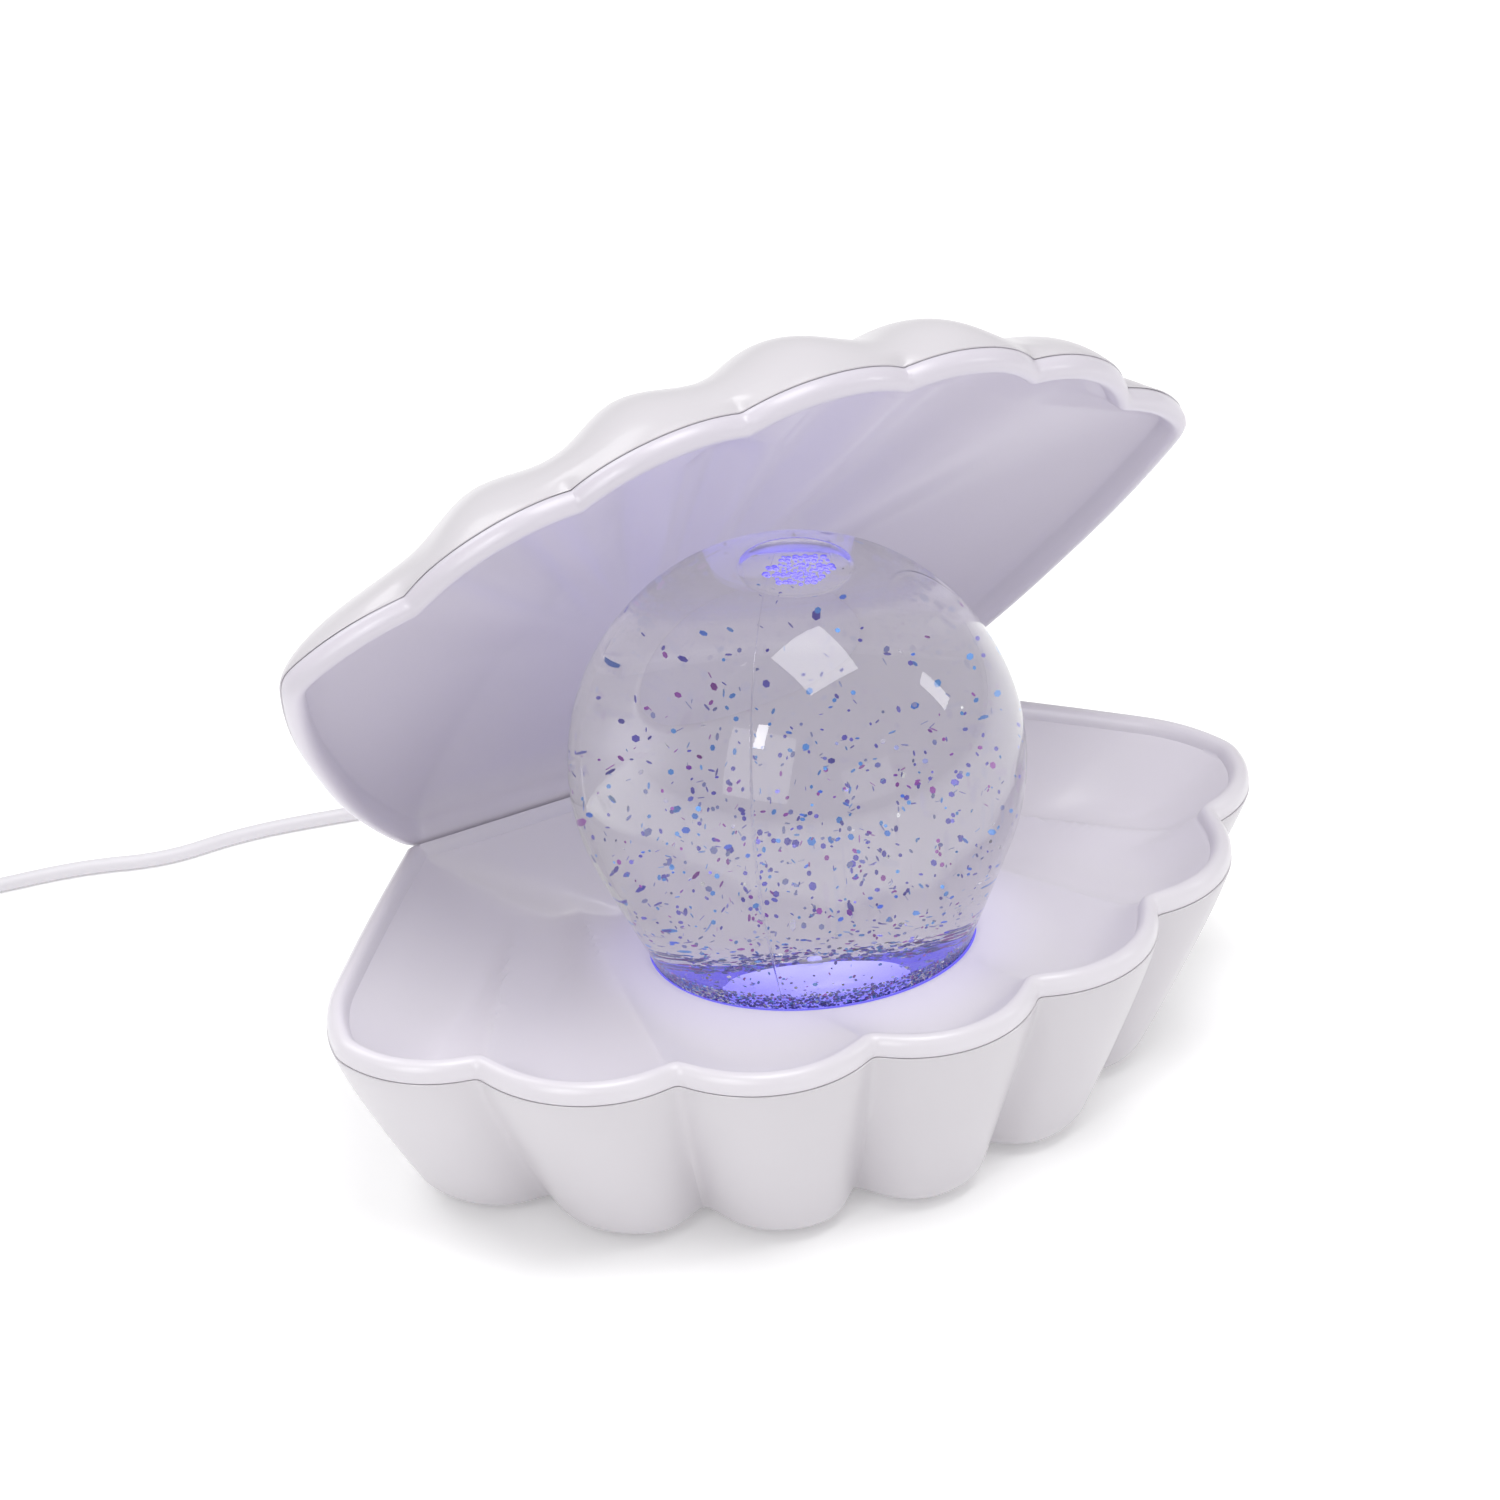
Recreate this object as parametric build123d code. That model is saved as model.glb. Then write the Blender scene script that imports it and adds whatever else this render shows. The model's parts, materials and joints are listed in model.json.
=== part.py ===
from build123d import *
import os
from math import cos, radians, sin, tan

os.makedirs("parts", exist_ok=True)

# ---------------------------------------------------------------- driving dimensions, mm
# Row frame: +Z up, origin on the floor under the middle of the lamp, front towards -Y.
RIM_Z = 52.7             # top of the base lip above the floor
BACK_Y = 57.45           # straight rear edge of the base
LIP = 4.5                # height of the rolled lip above the parting line
LIP_WIDTH = 5.0          # width of the lip
WALL = 2.4               # moulded wall
FLOOR_Z = 1.5            # underside of the base shell, held up by the feet
TAPER_X = 0.228          # how much narrower the bowl is at the floor
TAPER_Y = 0.117          # how much shorter the bowl is at the floor

LID_ANGLE = 59.1         # tilt of the lid's rim plane from level
LID_DEPTH = 32.0         # dome height above the lid's rim plane
LID_PIVOT = 110.0        # the dome's crown, forward of the lid's rear edge
LID_HINGE_Z = RIM_Z - 3.9
LID_GAP = 0.5            # open joint between the lid's rim and the tray

GLOBE_R = 50.0           # globe, 100 mm across
GLOBE_WALL = 2.6
GLOBE_Y = -2.05
GLOBE_Z = RIM_Z + 29.4
TILT = 8.0               # the globe and its drive lean back by this angle
CONE = 24.0              # half angle of the cone under the sphere
NECK_W = -42.4           # tray floor, measured down the globe's axis
SEAM_TURN = -41.5        # direction of the globe's moulding seam, from the front

SHAFT_R = 1.0
RUNNING = 0.05           # radial clearance of a shaft in its bore
CORD_R = 1.75            # round cable, 3.5 mm across

# Seven-lobed outlines, right half. x is sideways, the second value is forward of the straight rear edge.
BASE_EDGE = {
    "corner": (66.0, 0.0), "side": (86.3, 20.7), "hip": (106.0, 42.0), "flank": (113.5, 53.5),
    "nose": (116.5, 64.0), "brow": (110.8, 77.3), "umbo": -10.8, "notch_r": 135.6, "lobe_r": 143.0,
    "notch_deg": (44.4, 26.75, 8.85), "length": 143.0 - 10.8,
}
LID_EDGE = {
    "corner": (65.4, 0.0), "side": (82.5, 20.8), "hip": (96.5, 44.5), "flank": (107.6, 69.0),
    "nose": (113.8, 91.0), "brow": (108.0, 104.8), "umbo": 17.7, "notch_r": 129.3, "lobe_r": 133.2,
    "notch_deg": (43.8, 26.0, 8.8), "length": 133.2 + 17.7,
}
HALF_WIDTH = 116.5

# ---------------------------------------------------------------- frames
BASE_PLANE = Plane(origin=(0, BACK_Y, 0), x_dir=(-1, 0, 0), z_dir=(0, 0, 1))
LID_PLANE = Plane(
    origin=(0, BACK_Y - 0.2, LID_HINGE_Z),
    x_dir=(-1, 0, 0),
    z_dir=(0, sin(radians(LID_ANGLE)), cos(radians(LID_ANGLE))),
)
AXIS = Location((0, GLOBE_Y, GLOBE_Z), (-TILT, 0, 0))


def save(name, shape):
    export_step(shape, f"parts/{name}.step")


def group(shapes):
    return Compound(children=list(shapes))


def ring(outer, inner, low, high):
    body = Pos(0, 0, (low + high) / 2) * Cylinder(outer, high - low)
    bore = Pos(0, 0, (low + high) / 2) * Cylinder(inner, high - low + 1)
    return body - bore


def disc(radius, low, high, x=0.0, y=0.0):
    return Pos(x, y, (low + high) / 2) * Cylinder(radius, high - low)


def block(low, high):
    size = [b - a for a, b in zip(low, high)]
    middle = [(a + b) / 2 for a, b in zip(low, high)]
    return Pos(*middle) * Box(*size)


def around(radius, count, first=0.0):
    step = 360.0 / count
    for k in range(count):
        turn = radians(first + k * step)
        yield radius * cos(turn), radius * sin(turn), first + k * step


def screw(head_r, head_h, shank_r, length):
    """Pan head standing on z = 0, shank running up from it."""
    head = disc(head_r, 0, head_h)
    slot = block((-head_r, -0.35, -0.1), (head_r, 0.35, head_h * 0.4))
    cross = block((-0.35, -head_r, -0.1), (0.35, head_r, head_h * 0.4))
    return head + disc(shank_r, head_h, head_h + length) - slot - cross


# ---------------------------------------------------------------- scallop outlines
def lobe_chain(edge):
    """Arcs of the right half, each a (start, middle, end) triple, from the rear corner to the front notch."""
    def polar(r, deg):
        return r * sin(radians(deg)), edge["umbo"] + r * cos(radians(deg))

    notches = [polar(edge["notch_r"], deg) for deg in edge["notch_deg"]]
    arcs = [
        (edge["corner"], edge["side"], edge["hip"]),
        (edge["hip"], edge["flank"], edge["nose"]),
        (edge["nose"], edge["brow"], notches[0]),
    ]
    for k in (0, 1):
        middle = (edge["notch_deg"][k] + edge["notch_deg"][k + 1]) / 2
        arcs.append((notches[k], polar(edge["lobe_r"], middle), notches[k + 1]))
    return arcs, notches[2], polar(edge["lobe_r"], 0)


def scallop(edge, scale_x, scale_y, pivot, inset, height):
    """Closed outline face. It shrinks towards the pivot, then steps in by the inset on every side."""
    sx = scale_x - inset / HALF_WIDTH
    sy = scale_y - 2 * inset / edge["length"]
    start = pivot * (1 - scale_y) + inset
    arcs, last, tip = lobe_chain(edge)

    def at(point, side):
        return side * point[0] * sx, start + point[1] * sy

    edges = [ThreePointArc(*(at(p, 1) for p in arc)) for arc in arcs]
    edges.append(ThreePointArc(at(last, 1), at(tip, 1), at(last, -1)))
    edges += [ThreePointArc(*(at(p, -1) for p in reversed(arc))) for arc in reversed(arcs)]
    edges.append(Line(at(edge["corner"], -1), at(edge["corner"], 1)))
    return Pos(0, 0, height) * make_face(Wire(edges))


def bowl(inset, levels, raise_top=0.0):
    """Solid bowl of the base, shrunk by the inset, between the given heights."""
    faces = []
    for z in levels:
        drop = max(0.0, (RIM_Z - LIP - z) / (RIM_Z - LIP - FLOOR_Z)) ** 1.14
        top = raise_top if z == levels[-1] else 0.0
        faces.append(scallop(BASE_EDGE, 1 - TAPER_X * drop, 1 - TAPER_Y * drop, 0.0, inset, z + top))
    return BASE_PLANE * loft(faces)


def dome(inset, low):
    """Solid dome of the lid, shrunk by the inset: upright up to the lip, then curving in to its crown."""
    rise = LID_DEPTH - inset - LIP
    faces = []
    for share in (0.0, 0.18, 0.36, 0.54, 0.7, 0.83, 0.92, 0.98):
        scale_x = (1 - share ** 1.25) ** 0.44
        scale_y = (1 - share ** 2.05) ** 0.59
        faces.append(scallop(LID_EDGE, scale_x, scale_y, LID_PIVOT, inset, LIP + share * rise))
    body = LID_PLANE * loft(faces)
    if low < LIP:
        body += lid_slab(inset, low, LIP)
    return body


def lid_slab(inset, low, high):
    face = scallop(LID_EDGE, 1.0, 1.0, LID_PIVOT, inset, low)
    return LID_PLANE * extrude(face, high - low)


# ---------------------------------------------------------------- lid
LID_SCREWS_X = (-24.0, 24.0)
LID_SCREW_DEPTH = 8.2


def lid_screw_place(x, forward):
    """Frame on the lid's rear wall, +Z pointing down and back out of the lid."""
    return LID_PLANE * Pos(x, forward, LID_SCREW_DEPTH) * Rot(90, 0, 0)


def lid_shell():
    body = dome(0.0, LIP) - dome(WALL, LIP - 2.0)
    for x in LID_SCREWS_X:
        body += lid_screw_place(x, 0) * disc(2.9, -3.85, -3.5)
        body -= lid_screw_place(x, 0) * disc(1.5, -12, 6)
        body -= lid_screw_place(x, 0) * disc(2.6, -12, -3.85)
    return body


def lid_liner():
    rim = lid_slab(0.0, 0.0, LIP - 0.05)
    body = rim + dome(WALL + 0.6, 1.0) - dome(LIP_WIDTH + 0.4, -1.0)
    for x in LID_SCREWS_X:
        body -= lid_screw_place(x, 0) * disc(2.9, -5.4, -2.5)
    return body


def lid_keep_out():
    return dome(-0.3, -LID_GAP)


# ---------------------------------------------------------------- base shell
BOWL_LEVELS = (FLOOR_Z, 5.0, 13.0, 24.0, 36.0, RIM_Z - LIP)
BOSS_PLACES = [(side * x, f) for x, f in ((36.0, 98.0), (74.0, 60.0), (44.0, 15.0)) for side in (-1, 1)]
BOSS_TOP = 20.0
FOOT_PLACES = [(side * x, f) for x, f in ((58.0, 84.0), (27.0, 13.0)) for side in (-1, 1)]
HEEL_HALF = 36.0
HEEL_DEPTH = 15.5
HEEL_Y = BACK_Y + HEEL_DEPTH
SWITCH_X = -20.0
SWITCH_Z = 16.0
SWITCH_TRAVEL = 4.0
CORD_X = 8.0
CORD_Z = 9.0
BOARD_Z = 7.0
BOARD_Y = BACK_Y - 27.0
BOARD_HALF = (22.0, 12.0)
SOCKET_X = -12.5
SOCKET_Y = BOARD_Y + 3.0
BOARD_SCREWS = [(-18.0, BOARD_Y - 8.0), (18.0, BOARD_Y + 8.0)]


def heel_block(inset, top):
    """Rear pedestal under the lid: a block with rounded rear corners."""
    low_y = BACK_Y - 6.0
    high_y = HEEL_Y - inset
    half = HEEL_HALF - inset
    body = block((-half, low_y, FLOOR_Z + inset), (half, high_y, top))
    rear = [e for e in body.edges().filter_by(Axis.Z) if e.center().Y > high_y - 0.1]
    return fillet(rear, 8.0 - inset)


def base_shell(keep_out):
    outer = bowl(0.0, BOWL_LEVELS) + heel_block(0.0, 59.0)
    above_rim = block((-130, -90, RIM_Z - LIP), (130, BACK_Y, 90))
    inner = bowl(WALL, (FLOOR_Z + WALL, 8.0, 15.0, 25.0, 36.0, RIM_Z - LIP), raise_top=1.0)
    hollow = heel_block(WALL, 34.0)
    body = outer - above_rim - keep_out - inner - hollow
    for x, f in BOSS_PLACES:
        y = BACK_Y - f
        body += disc(4.2, FLOOR_Z + 1.0, BOSS_TOP, x, y)
        body -= disc(1.7, 0, BOSS_TOP + 1, x, y) + disc(3.4, 0, 6.0, x, y)
    for x, y in BOARD_SCREWS:
        body += disc(2.4, FLOOR_Z + 1.0, BOARD_Z, x, y)
        body -= disc(0.95, FLOOR_Z + 2.0, BOARD_Z + 1, x, y)
    for x, f in FOOT_PLACES:
        body -= disc(6.1, 0, FLOOR_Z + 0.9, x, BACK_Y - f)
    body -= Pos(CORD_X, HEEL_Y, CORD_Z) * Rot(90, 0, 0) * Cylinder(3.5, 8)
    body -= block((SWITCH_X - 4.6, HEEL_Y - 4, SWITCH_Z - 1.5), (SWITCH_X + 4.6, HEEL_Y + 1, SWITCH_Z + 1.5))
    for x in LID_SCREWS_X:
        body -= lid_screw_place(x, 0) * disc(1.35, -3, 10)
    return body


def lid_screws():
    part = screw(2.4, 1.2, 1.3, 10.0)
    return group(lid_screw_place(x, 0) * Pos(0, 0, -5.1) * part for x in LID_SCREWS_X)


def base_screws():
    part = screw(3.1, 2.0, 1.5, 24.0)
    return group(Pos(x, BACK_Y - f, 3.9) * part for x, f in BOSS_PLACES)


def rubber_feet():
    return group(disc(6.0, 0, FLOOR_Z + 0.85, x, BACK_Y - f) for x, f in FOOT_PLACES)


# ---------------------------------------------------------------- base tray
CLAMP_R = 44.5
HOLE_R = GLOBE_R * cos(radians(CONE)) - (-NECK_W - GLOBE_R * sin(radians(CONE))) * tan(radians(CONE)) + 0.35


def dish(grow, drop):
    """Hollow of the tray: lobed at the lip, closing in towards the sloping floor."""
    steps = ((-1.0, 4.9), (2.5, 6.2), (8.0, 13.0), (15.0, 22.0), (23.0, 36.0))
    faces = []
    for depth, inset in steps:
        faces.append(scallop(BASE_EDGE, 1.0, 1.0, 0.0, inset - grow, RIM_Z - depth - drop))
    back = BASE_PLANE * block((-56 - grow, 5.8 - grow, 28), (56 + grow, 45.8, RIM_Z + 1 - drop))
    body = BASE_PLANE * loft(faces)
    floor = AXIS * block((-150, -150, NECK_W - drop), (150, 150, 60))
    return (body + back) & floor


def base_tray(keep_out):
    rim = BASE_PLANE * extrude(scallop(BASE_EDGE, 1.0, 1.0, 0.0, 0.0, RIM_Z - LIP), LIP)
    ledge = BASE_PLANE * extrude(scallop(BASE_EDGE, 1.0, 1.0, 0.0, WALL + 1.8, RIM_Z - LIP - 2.0), 3.0)
    under = dish(WALL, WALL) & block((-130, -90, 20), (130, BACK_Y - 3.2, RIM_Z - 1.0))
    posts = [disc(4.2, BOSS_TOP + 0.05, RIM_Z - 5.0, x, BACK_Y - f) for x, f in BOSS_PLACES]
    for x, y, _ in around(CLAMP_R, 4):
        posts.append(AXIS * disc(3.6, -49.1, -40.0, x, y))
    body = rim + ledge + under
    for post in posts:
        body += post
    body -= dish(0.0, 0.0)
    body -= keep_out
    body -= AXIS * disc(HOLE_R, -60, -30)
    body -= AXIS * (disc(41.0, -60, NECK_W - WALL) - disc(30.0, -61, -30))
    for x, f in BOSS_PLACES:
        body -= disc(1.55, 0, 31.0, x, BACK_Y - f)
    for x, y, _ in around(CLAMP_R, 4):
        body -= AXIS * disc(1.45, -60, -45.0, x, y)
    return body


# ---------------------------------------------------------------- globe
def globe_profile(radius, neck_low, cone_low):
    """Half outline of a sphere running into a cone, then a straight neck, as (r, w) edges from the top."""
    tangent = (radius * cos(radians(CONE)), -radius * sin(radians(CONE)))
    neck_r = tangent[0] - (tangent[1] - cone_low) * tan(radians(CONE))
    middle = (radius * cos(radians(30)), radius * sin(radians(30)))
    arc = ThreePointArc((0, radius), middle, tangent)
    return [arc, Line(tangent, (neck_r, cone_low)), Line((neck_r, cone_low), (neck_r, neck_low))], neck_r


def spun(edges):
    return revolve(Plane.XZ * make_face(Wire(edges)), axis=Axis.Z)


def globe_solid(radius, neck_low, cone_low):
    edges, neck_r = globe_profile(radius, neck_low, cone_low)
    edges += [Line((neck_r, neck_low), (0, neck_low)), Line((0, neck_low), (0, radius))]
    return spun(edges)


def globe_half(side):
    shell = globe_solid(GLOBE_R, -49.0, NECK_W) + disc(39.4, -49.0, -46.9)
    shell -= globe_solid(GLOBE_R - GLOBE_WALL, -49.5, NECK_W)
    across = (cos(radians(SEAM_TURN)), sin(radians(SEAM_TURN)), 0)
    seam = Plane(origin=(0, 0, 0), x_dir=(0, 0, 1), z_dir=across)
    return AXIS * split(shell, bisect_by=seam, keep=side)


LIQUID_GAP = 0.15
BUBBLE_W = 46.6
PLUG_TOP = -46.0
STIR_ROOM_R = 16.5
STIR_ROOM_TOP = -34.0


def globe_liquid():
    body = globe_solid(GLOBE_R - GLOBE_WALL - LIQUID_GAP, PLUG_TOP + LIQUID_GAP, NECK_W)
    body -= disc(30.0, BUBBLE_W, 60.0)
    body -= disc(STIR_ROOM_R, -50.0, STIR_ROOM_TOP)
    return AXIS * body


PLUG_R = 32.7


def globe_plug():
    body = disc(PLUG_R, -49.0, PLUG_TOP)
    body -= ring(PLUG_R + 1, PLUG_R - 1.5, -48.2, -46.8)
    body -= disc(SHAFT_R + 0.02, -48.0, -40.0)
    return AXIS * body


def plug_seal():
    return AXIS * ring(PLUG_R + 0.1, PLUG_R - 1.4, -48.1, -46.9)


def globe_gasket():
    return AXIS * ring(39.2, HOLE_R + 0.2, -46.85, NECK_W - WALL - 0.05)


def clamp_lugs(low, high):
    lugs = []
    for _, _, turn in around(CLAMP_R, 4):
        lugs.append(Rot(0, 0, turn) * block((35.0, -4.5, low), (CLAMP_R + 4.5, 4.5, high)))
    return lugs


def bored(body, radius, low, high):
    for x, y, _ in around(CLAMP_R, 4):
        body -= disc(radius, low, high, x, y)
    return body


def globe_retainer():
    body = ring(40.5, 30.5, -51.5, -49.1)
    for lug in clamp_lugs(-51.5, -49.15):
        body += lug
    return AXIS * bored(body, 1.6, -60, -45)


def clamp_screws():
    part = screw(2.8, 1.6, 1.4, 8.3)
    return group(AXIS * Pos(x, y, -55.55) * part for x, y, _ in around(CLAMP_R, 4))


# ---------------------------------------------------------------- stirrer in the liquid
STIR_LOW = -45.3
STIR_MAGNET_R = 9.0


def stirrer():
    body = disc(14.0, STIR_LOW, -43.2) + disc(2.6, STIR_LOW, -36.6)
    for _, _, turn in around(10.0, 4, 45.0):
        body += Rot(0, 0, turn) * block((2.0, -0.8, -43.5), (13.0, 0.8, -40.0))
    body -= disc(SHAFT_R + RUNNING, -50, -30)
    for x, y, _ in around(STIR_MAGNET_R, 2):
        body -= disc(2.5, STIR_LOW - 0.5, -43.6, x, y)
    return AXIS * body


def stirrer_magnets():
    return group(AXIS * disc(2.45, STIR_LOW, -43.65, x, y) for x, y, _ in around(STIR_MAGNET_R, 2))


def stirrer_pin():
    return AXIS * disc(SHAFT_R, -48.0, -35.2)


def pin_clip():
    return AXIS * ring(2.4, SHAFT_R + 0.02, -36.2, -35.6)


# ---------------------------------------------------------------- motor and drive
CAN_TOP = -58.3
CAN_LOW = -70.0


def drive_carrier():
    body = disc(36.5, -58.2, -56.6) - disc(3.5, -60, -50)
    body += ring(36.5, 34.2, -56.7, -51.6)
    for x, y, _ in around(28.5, 3, 30.0):
        body += disc(2.2, -56.7, -55.1, x, y)
        body -= disc(0.95, -57.4, -50, x, y)
    for lug in clamp_lugs(-53.9, -51.6):
        body += lug
    for x, y, _ in around(8.0, 2):
        body -= disc(1.1, -60, -50, x, y)
    body -= Rot(0, 0, 45) * block((18.0, -3.0, -60), (26.0, 3.0, -50))
    return AXIS * bored(body, 1.6, -60, -45)


def motor_can():
    body = disc(12.2, CAN_LOW, CAN_TOP) + disc(3.2, CAN_TOP - 0.5, -56.2)
    body -= disc(11.3, CAN_LOW - 1, CAN_TOP - 1.0)
    body -= disc(SHAFT_R + RUNNING, -80, -50)
    for x, y, _ in around(8.0, 2):
        body -= disc(1.05, -60, -50, x, y)
    return AXIS * body


def motor_end_cap():
    return AXIS * (disc(12.2, -71.6, CAN_LOW - 0.05) - disc(SHAFT_R + RUNNING, -80, -50))


def motor_field_magnet():
    return AXIS * ring(11.25, 9.9, -69.2, -60.4)


def motor_armature():
    body = disc(9.2, -68.6, -60.8)
    for x, y, _ in around(9.4, 3):
        body -= disc(1.6, -70, -59, x, y)
    return AXIS * (body - disc(SHAFT_R + 0.01, -80, -50))


def motor_shaft():
    return AXIS * disc(SHAFT_R, -72.2, -51.2)


def drive_disc():
    body = disc(13.0, -53.8, -50.4) + disc(3.6, -55.2, -53.7)
    body -= disc(SHAFT_R + 0.01, -60, -51.1)
    for x, y, _ in around(STIR_MAGNET_R, 2):
        body -= disc(3.05, -53.0, -50.0, x, y)
    return AXIS * body


def drive_magnets():
    return group(AXIS * disc(3.0, -52.95, -50.45, x, y) for x, y, _ in around(STIR_MAGNET_R, 2))


def motor_screws():
    part = Rot(180, 0, 0) * screw(1.9, 1.1, 1.0, 2.6)
    return group(AXIS * Pos(x, y, -55.45) * part for x, y, _ in around(8.0, 2))


# ---------------------------------------------------------------- light and control
LED_R = 24.0


def led_board():
    body = ring(32.0, 16.5, -55.05, -53.6)
    for x, y, _ in around(28.5, 3, 30.0):
        body -= disc(1.1, -56, -52, x, y)
    return AXIS * body


def leds():
    chips = []
    for _, _, turn in around(LED_R, 6):
        chip = block((LED_R - 1.4, -1.75, -53.55), (LED_R + 1.4, 1.75, -52.2))
        chips.append(AXIS * Rot(0, 0, turn) * chip)
    return group(chips)


def led_board_screws():
    part = Rot(180, 0, 0) * screw(1.8, 1.0, 0.9, 3.6)
    return group(AXIS * Pos(x, y, -52.55) * part for x, y, _ in around(28.5, 3, 30.0))


def control_board():
    low = (-BOARD_HALF[0], BOARD_Y - BOARD_HALF[1], BOARD_Z + 0.02)
    high = (BOARD_HALF[0], BOARD_Y + BOARD_HALF[1], BOARD_Z + 1.6)
    body = block(low, high)
    for x, y in BOARD_SCREWS:
        body -= disc(1.1, 0, 20, x, y)
    return body


def board_components():
    top = BOARD_Z + 1.62
    driver = block((-6, BOARD_Y - 3, top), (0, BOARD_Y + 3, top + 1.7))
    capacitor = disc(3.1, top, top + 7.5, 8.0, BOARD_Y - 4.0)
    socket_front = SOCKET_Y + 0.02
    socket = block((SOCKET_X - 3.5, socket_front, top), (SOCKET_X + 3.5, SOCKET_Y + 6, top + 5))
    coil = disc(2.6, top, top + 3.0, 12.0, BOARD_Y + 5.0)
    return group((driver, capacitor, socket, coil))


def board_screws():
    part = Rot(180, 0, 0) * screw(2.1, 1.2, 0.9, 4.6)
    return group(Pos(x, y, BOARD_Z + 2.85) * part for x, y in BOARD_SCREWS)


def switch_body():
    front = HEEL_Y - WALL - 0.05
    body = block((SWITCH_X - 7, front - 5.5, SWITCH_Z - 3.2), (SWITCH_X + 7, front, SWITCH_Z + 3.2))
    slot = block((SWITCH_X - 4.6, front - 4.0, SWITCH_Z - 1.5), (SWITCH_X + 4.6, front + 1, SWITCH_Z + 1.5))
    return body - slot


def switch_knob():
    """The slider at its on end; it travels towards -X."""
    x = SWITCH_X + SWITCH_TRAVEL / 2
    front = HEEL_Y - WALL - 0.05
    stem = block((x - 1.6, front - 3.5, SWITCH_Z - 1.1), (x + 1.6, HEEL_Y + 1.8, SWITCH_Z + 1.1))
    for k in (-1, 0, 1):
        stem -= block((x + k - 0.2, HEEL_Y + 1.4, SWITCH_Z - 2), (x + k + 0.2, HEEL_Y + 2, SWITCH_Z + 2))
    return stem


# ---------------------------------------------------------------- inner leads
def bend_radii(points):
    radii = []
    for a, b, c in zip(points, points[1:], points[2:]):
        before, after = Vector(*b) - Vector(*a), Vector(*c) - Vector(*b)
        half_turn = radians(before.get_angle(after)) / 2
        radii.append(0.45 * min(before.length, after.length) / tan(half_turn))
    return radii


def tube(points, radius):
    path = FilletPolyline(*points, radius=bend_radii(points))
    start = Plane(origin=points[0], z_dir=Vector(*points[1]) - Vector(*points[0]))
    return sweep(start * Circle(radius), path=path)


def motor_leads():
    """Two wires from under the motor's end cap to the socket on the control board."""
    wires = []
    for side in (-1, 1):
        start = (AXIS * Pos(6 * side, 3, -72.5)).position
        clear = (AXIS * Pos(5.0 * side - 1, 15, -73.2)).position
        socket_x = SOCKET_X + 1.6 * side
        rise = [(socket_x + 2, 13.0, 6.4), (socket_x, 23.0, 12.4), (socket_x, SOCKET_Y, 11.4)]
        wires.append(tube([tuple(start), tuple(clear)] + rise, 0.6))
    return group(wires)


# ---------------------------------------------------------------- cable
# Route of the free cable, from inside the strain relief to the coil.
CORD_ROUTE = [
    (CORD_X, HEEL_Y - 4.0, CORD_Z),
    (CORD_X, HEEL_Y + 26.0, CORD_Z - 0.6),
    (5.0, HEEL_Y + 50.0, CORD_R),
    (-11.0, HEEL_Y + 71.0, CORD_R),
    (-37.0, HEEL_Y + 76.0, CORD_R),
    (-63.0, HEEL_Y + 80.5, CORD_R),
    (-84.0, HEEL_Y + 79.0, CORD_R),
    (-103.0, HEEL_Y + 87.0, CORD_R),
    (-128.0, HEEL_Y + 92.0, CORD_R),
    (-153.0, HEEL_Y + 100.0, CORD_R),
]
COIL_OUTER = 26.0
COIL_INNER = 12.0
COIL_HEIGHT = 4 * CORD_R
LAST_RUN = Vector(*CORD_ROUTE[-1]) - Vector(*CORD_ROUTE[-2])
COIL_SIDE = LAST_RUN.normalized().cross(Vector(0, 0, -1))
COIL_CENTRE = Vector(*CORD_ROUTE[-1]) - COIL_SIDE * (COIL_OUTER - CORD_R)
PLUG_X = COIL_CENTRE.X - COIL_OUTER + CORD_R
PLUG_Y = COIL_CENTRE.Y - 22.0


def usb_cable():
    radii = bend_radii(CORD_ROUTE)
    print("cable bend radii, mm:", [round(r, 1) for r in radii])
    return tube(CORD_ROUTE, CORD_R)


def usb_cable_coil():
    return Pos(COIL_CENTRE.X, COIL_CENTRE.Y, 0) * ring(COIL_OUTER, COIL_INNER, 0.0, COIL_HEIGHT)


def usb_cable_tail():
    start = COIL_CENTRE.Y - 2.0
    middle = (start + PLUG_Y) / 2
    return Pos(PLUG_X, middle, CORD_R) * Rot(90, 0, 0) * Cylinder(CORD_R, start - PLUG_Y)


def usb_plug_grip():
    body = block((PLUG_X - 7.8, PLUG_Y - 27.0, 0), (PLUG_X + 7.8, PLUG_Y - 6.0, 8.0))
    body = fillet(body.edges().filter_by(Axis.Y), 2.0)
    nose = Pos(PLUG_X, PLUG_Y - 3.1, CORD_R + 0.6) * Rot(90, 0, 0) * Cylinder(CORD_R + 0.6, 6.2)
    return body + nose - block((PLUG_X - 6.05, PLUG_Y - 30, 1.7), (PLUG_X + 6.05, PLUG_Y - 21, 6.3))


def usb_plug_shell():
    low = (PLUG_X - 6.0, PLUG_Y - 39.0, 1.75)
    high = (PLUG_X + 6.0, PLUG_Y - 21.05, 6.25)
    hollow = block((PLUG_X - 5.7, PLUG_Y - 40.0, 2.05), (PLUG_X + 5.7, PLUG_Y - 22.0, 5.95))
    return block(low, high) - hollow


def usb_plug_tongue():
    return block((PLUG_X - 5.6, PLUG_Y - 38.4, 4.1), (PLUG_X + 5.6, PLUG_Y - 22.05, 5.9))


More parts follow.
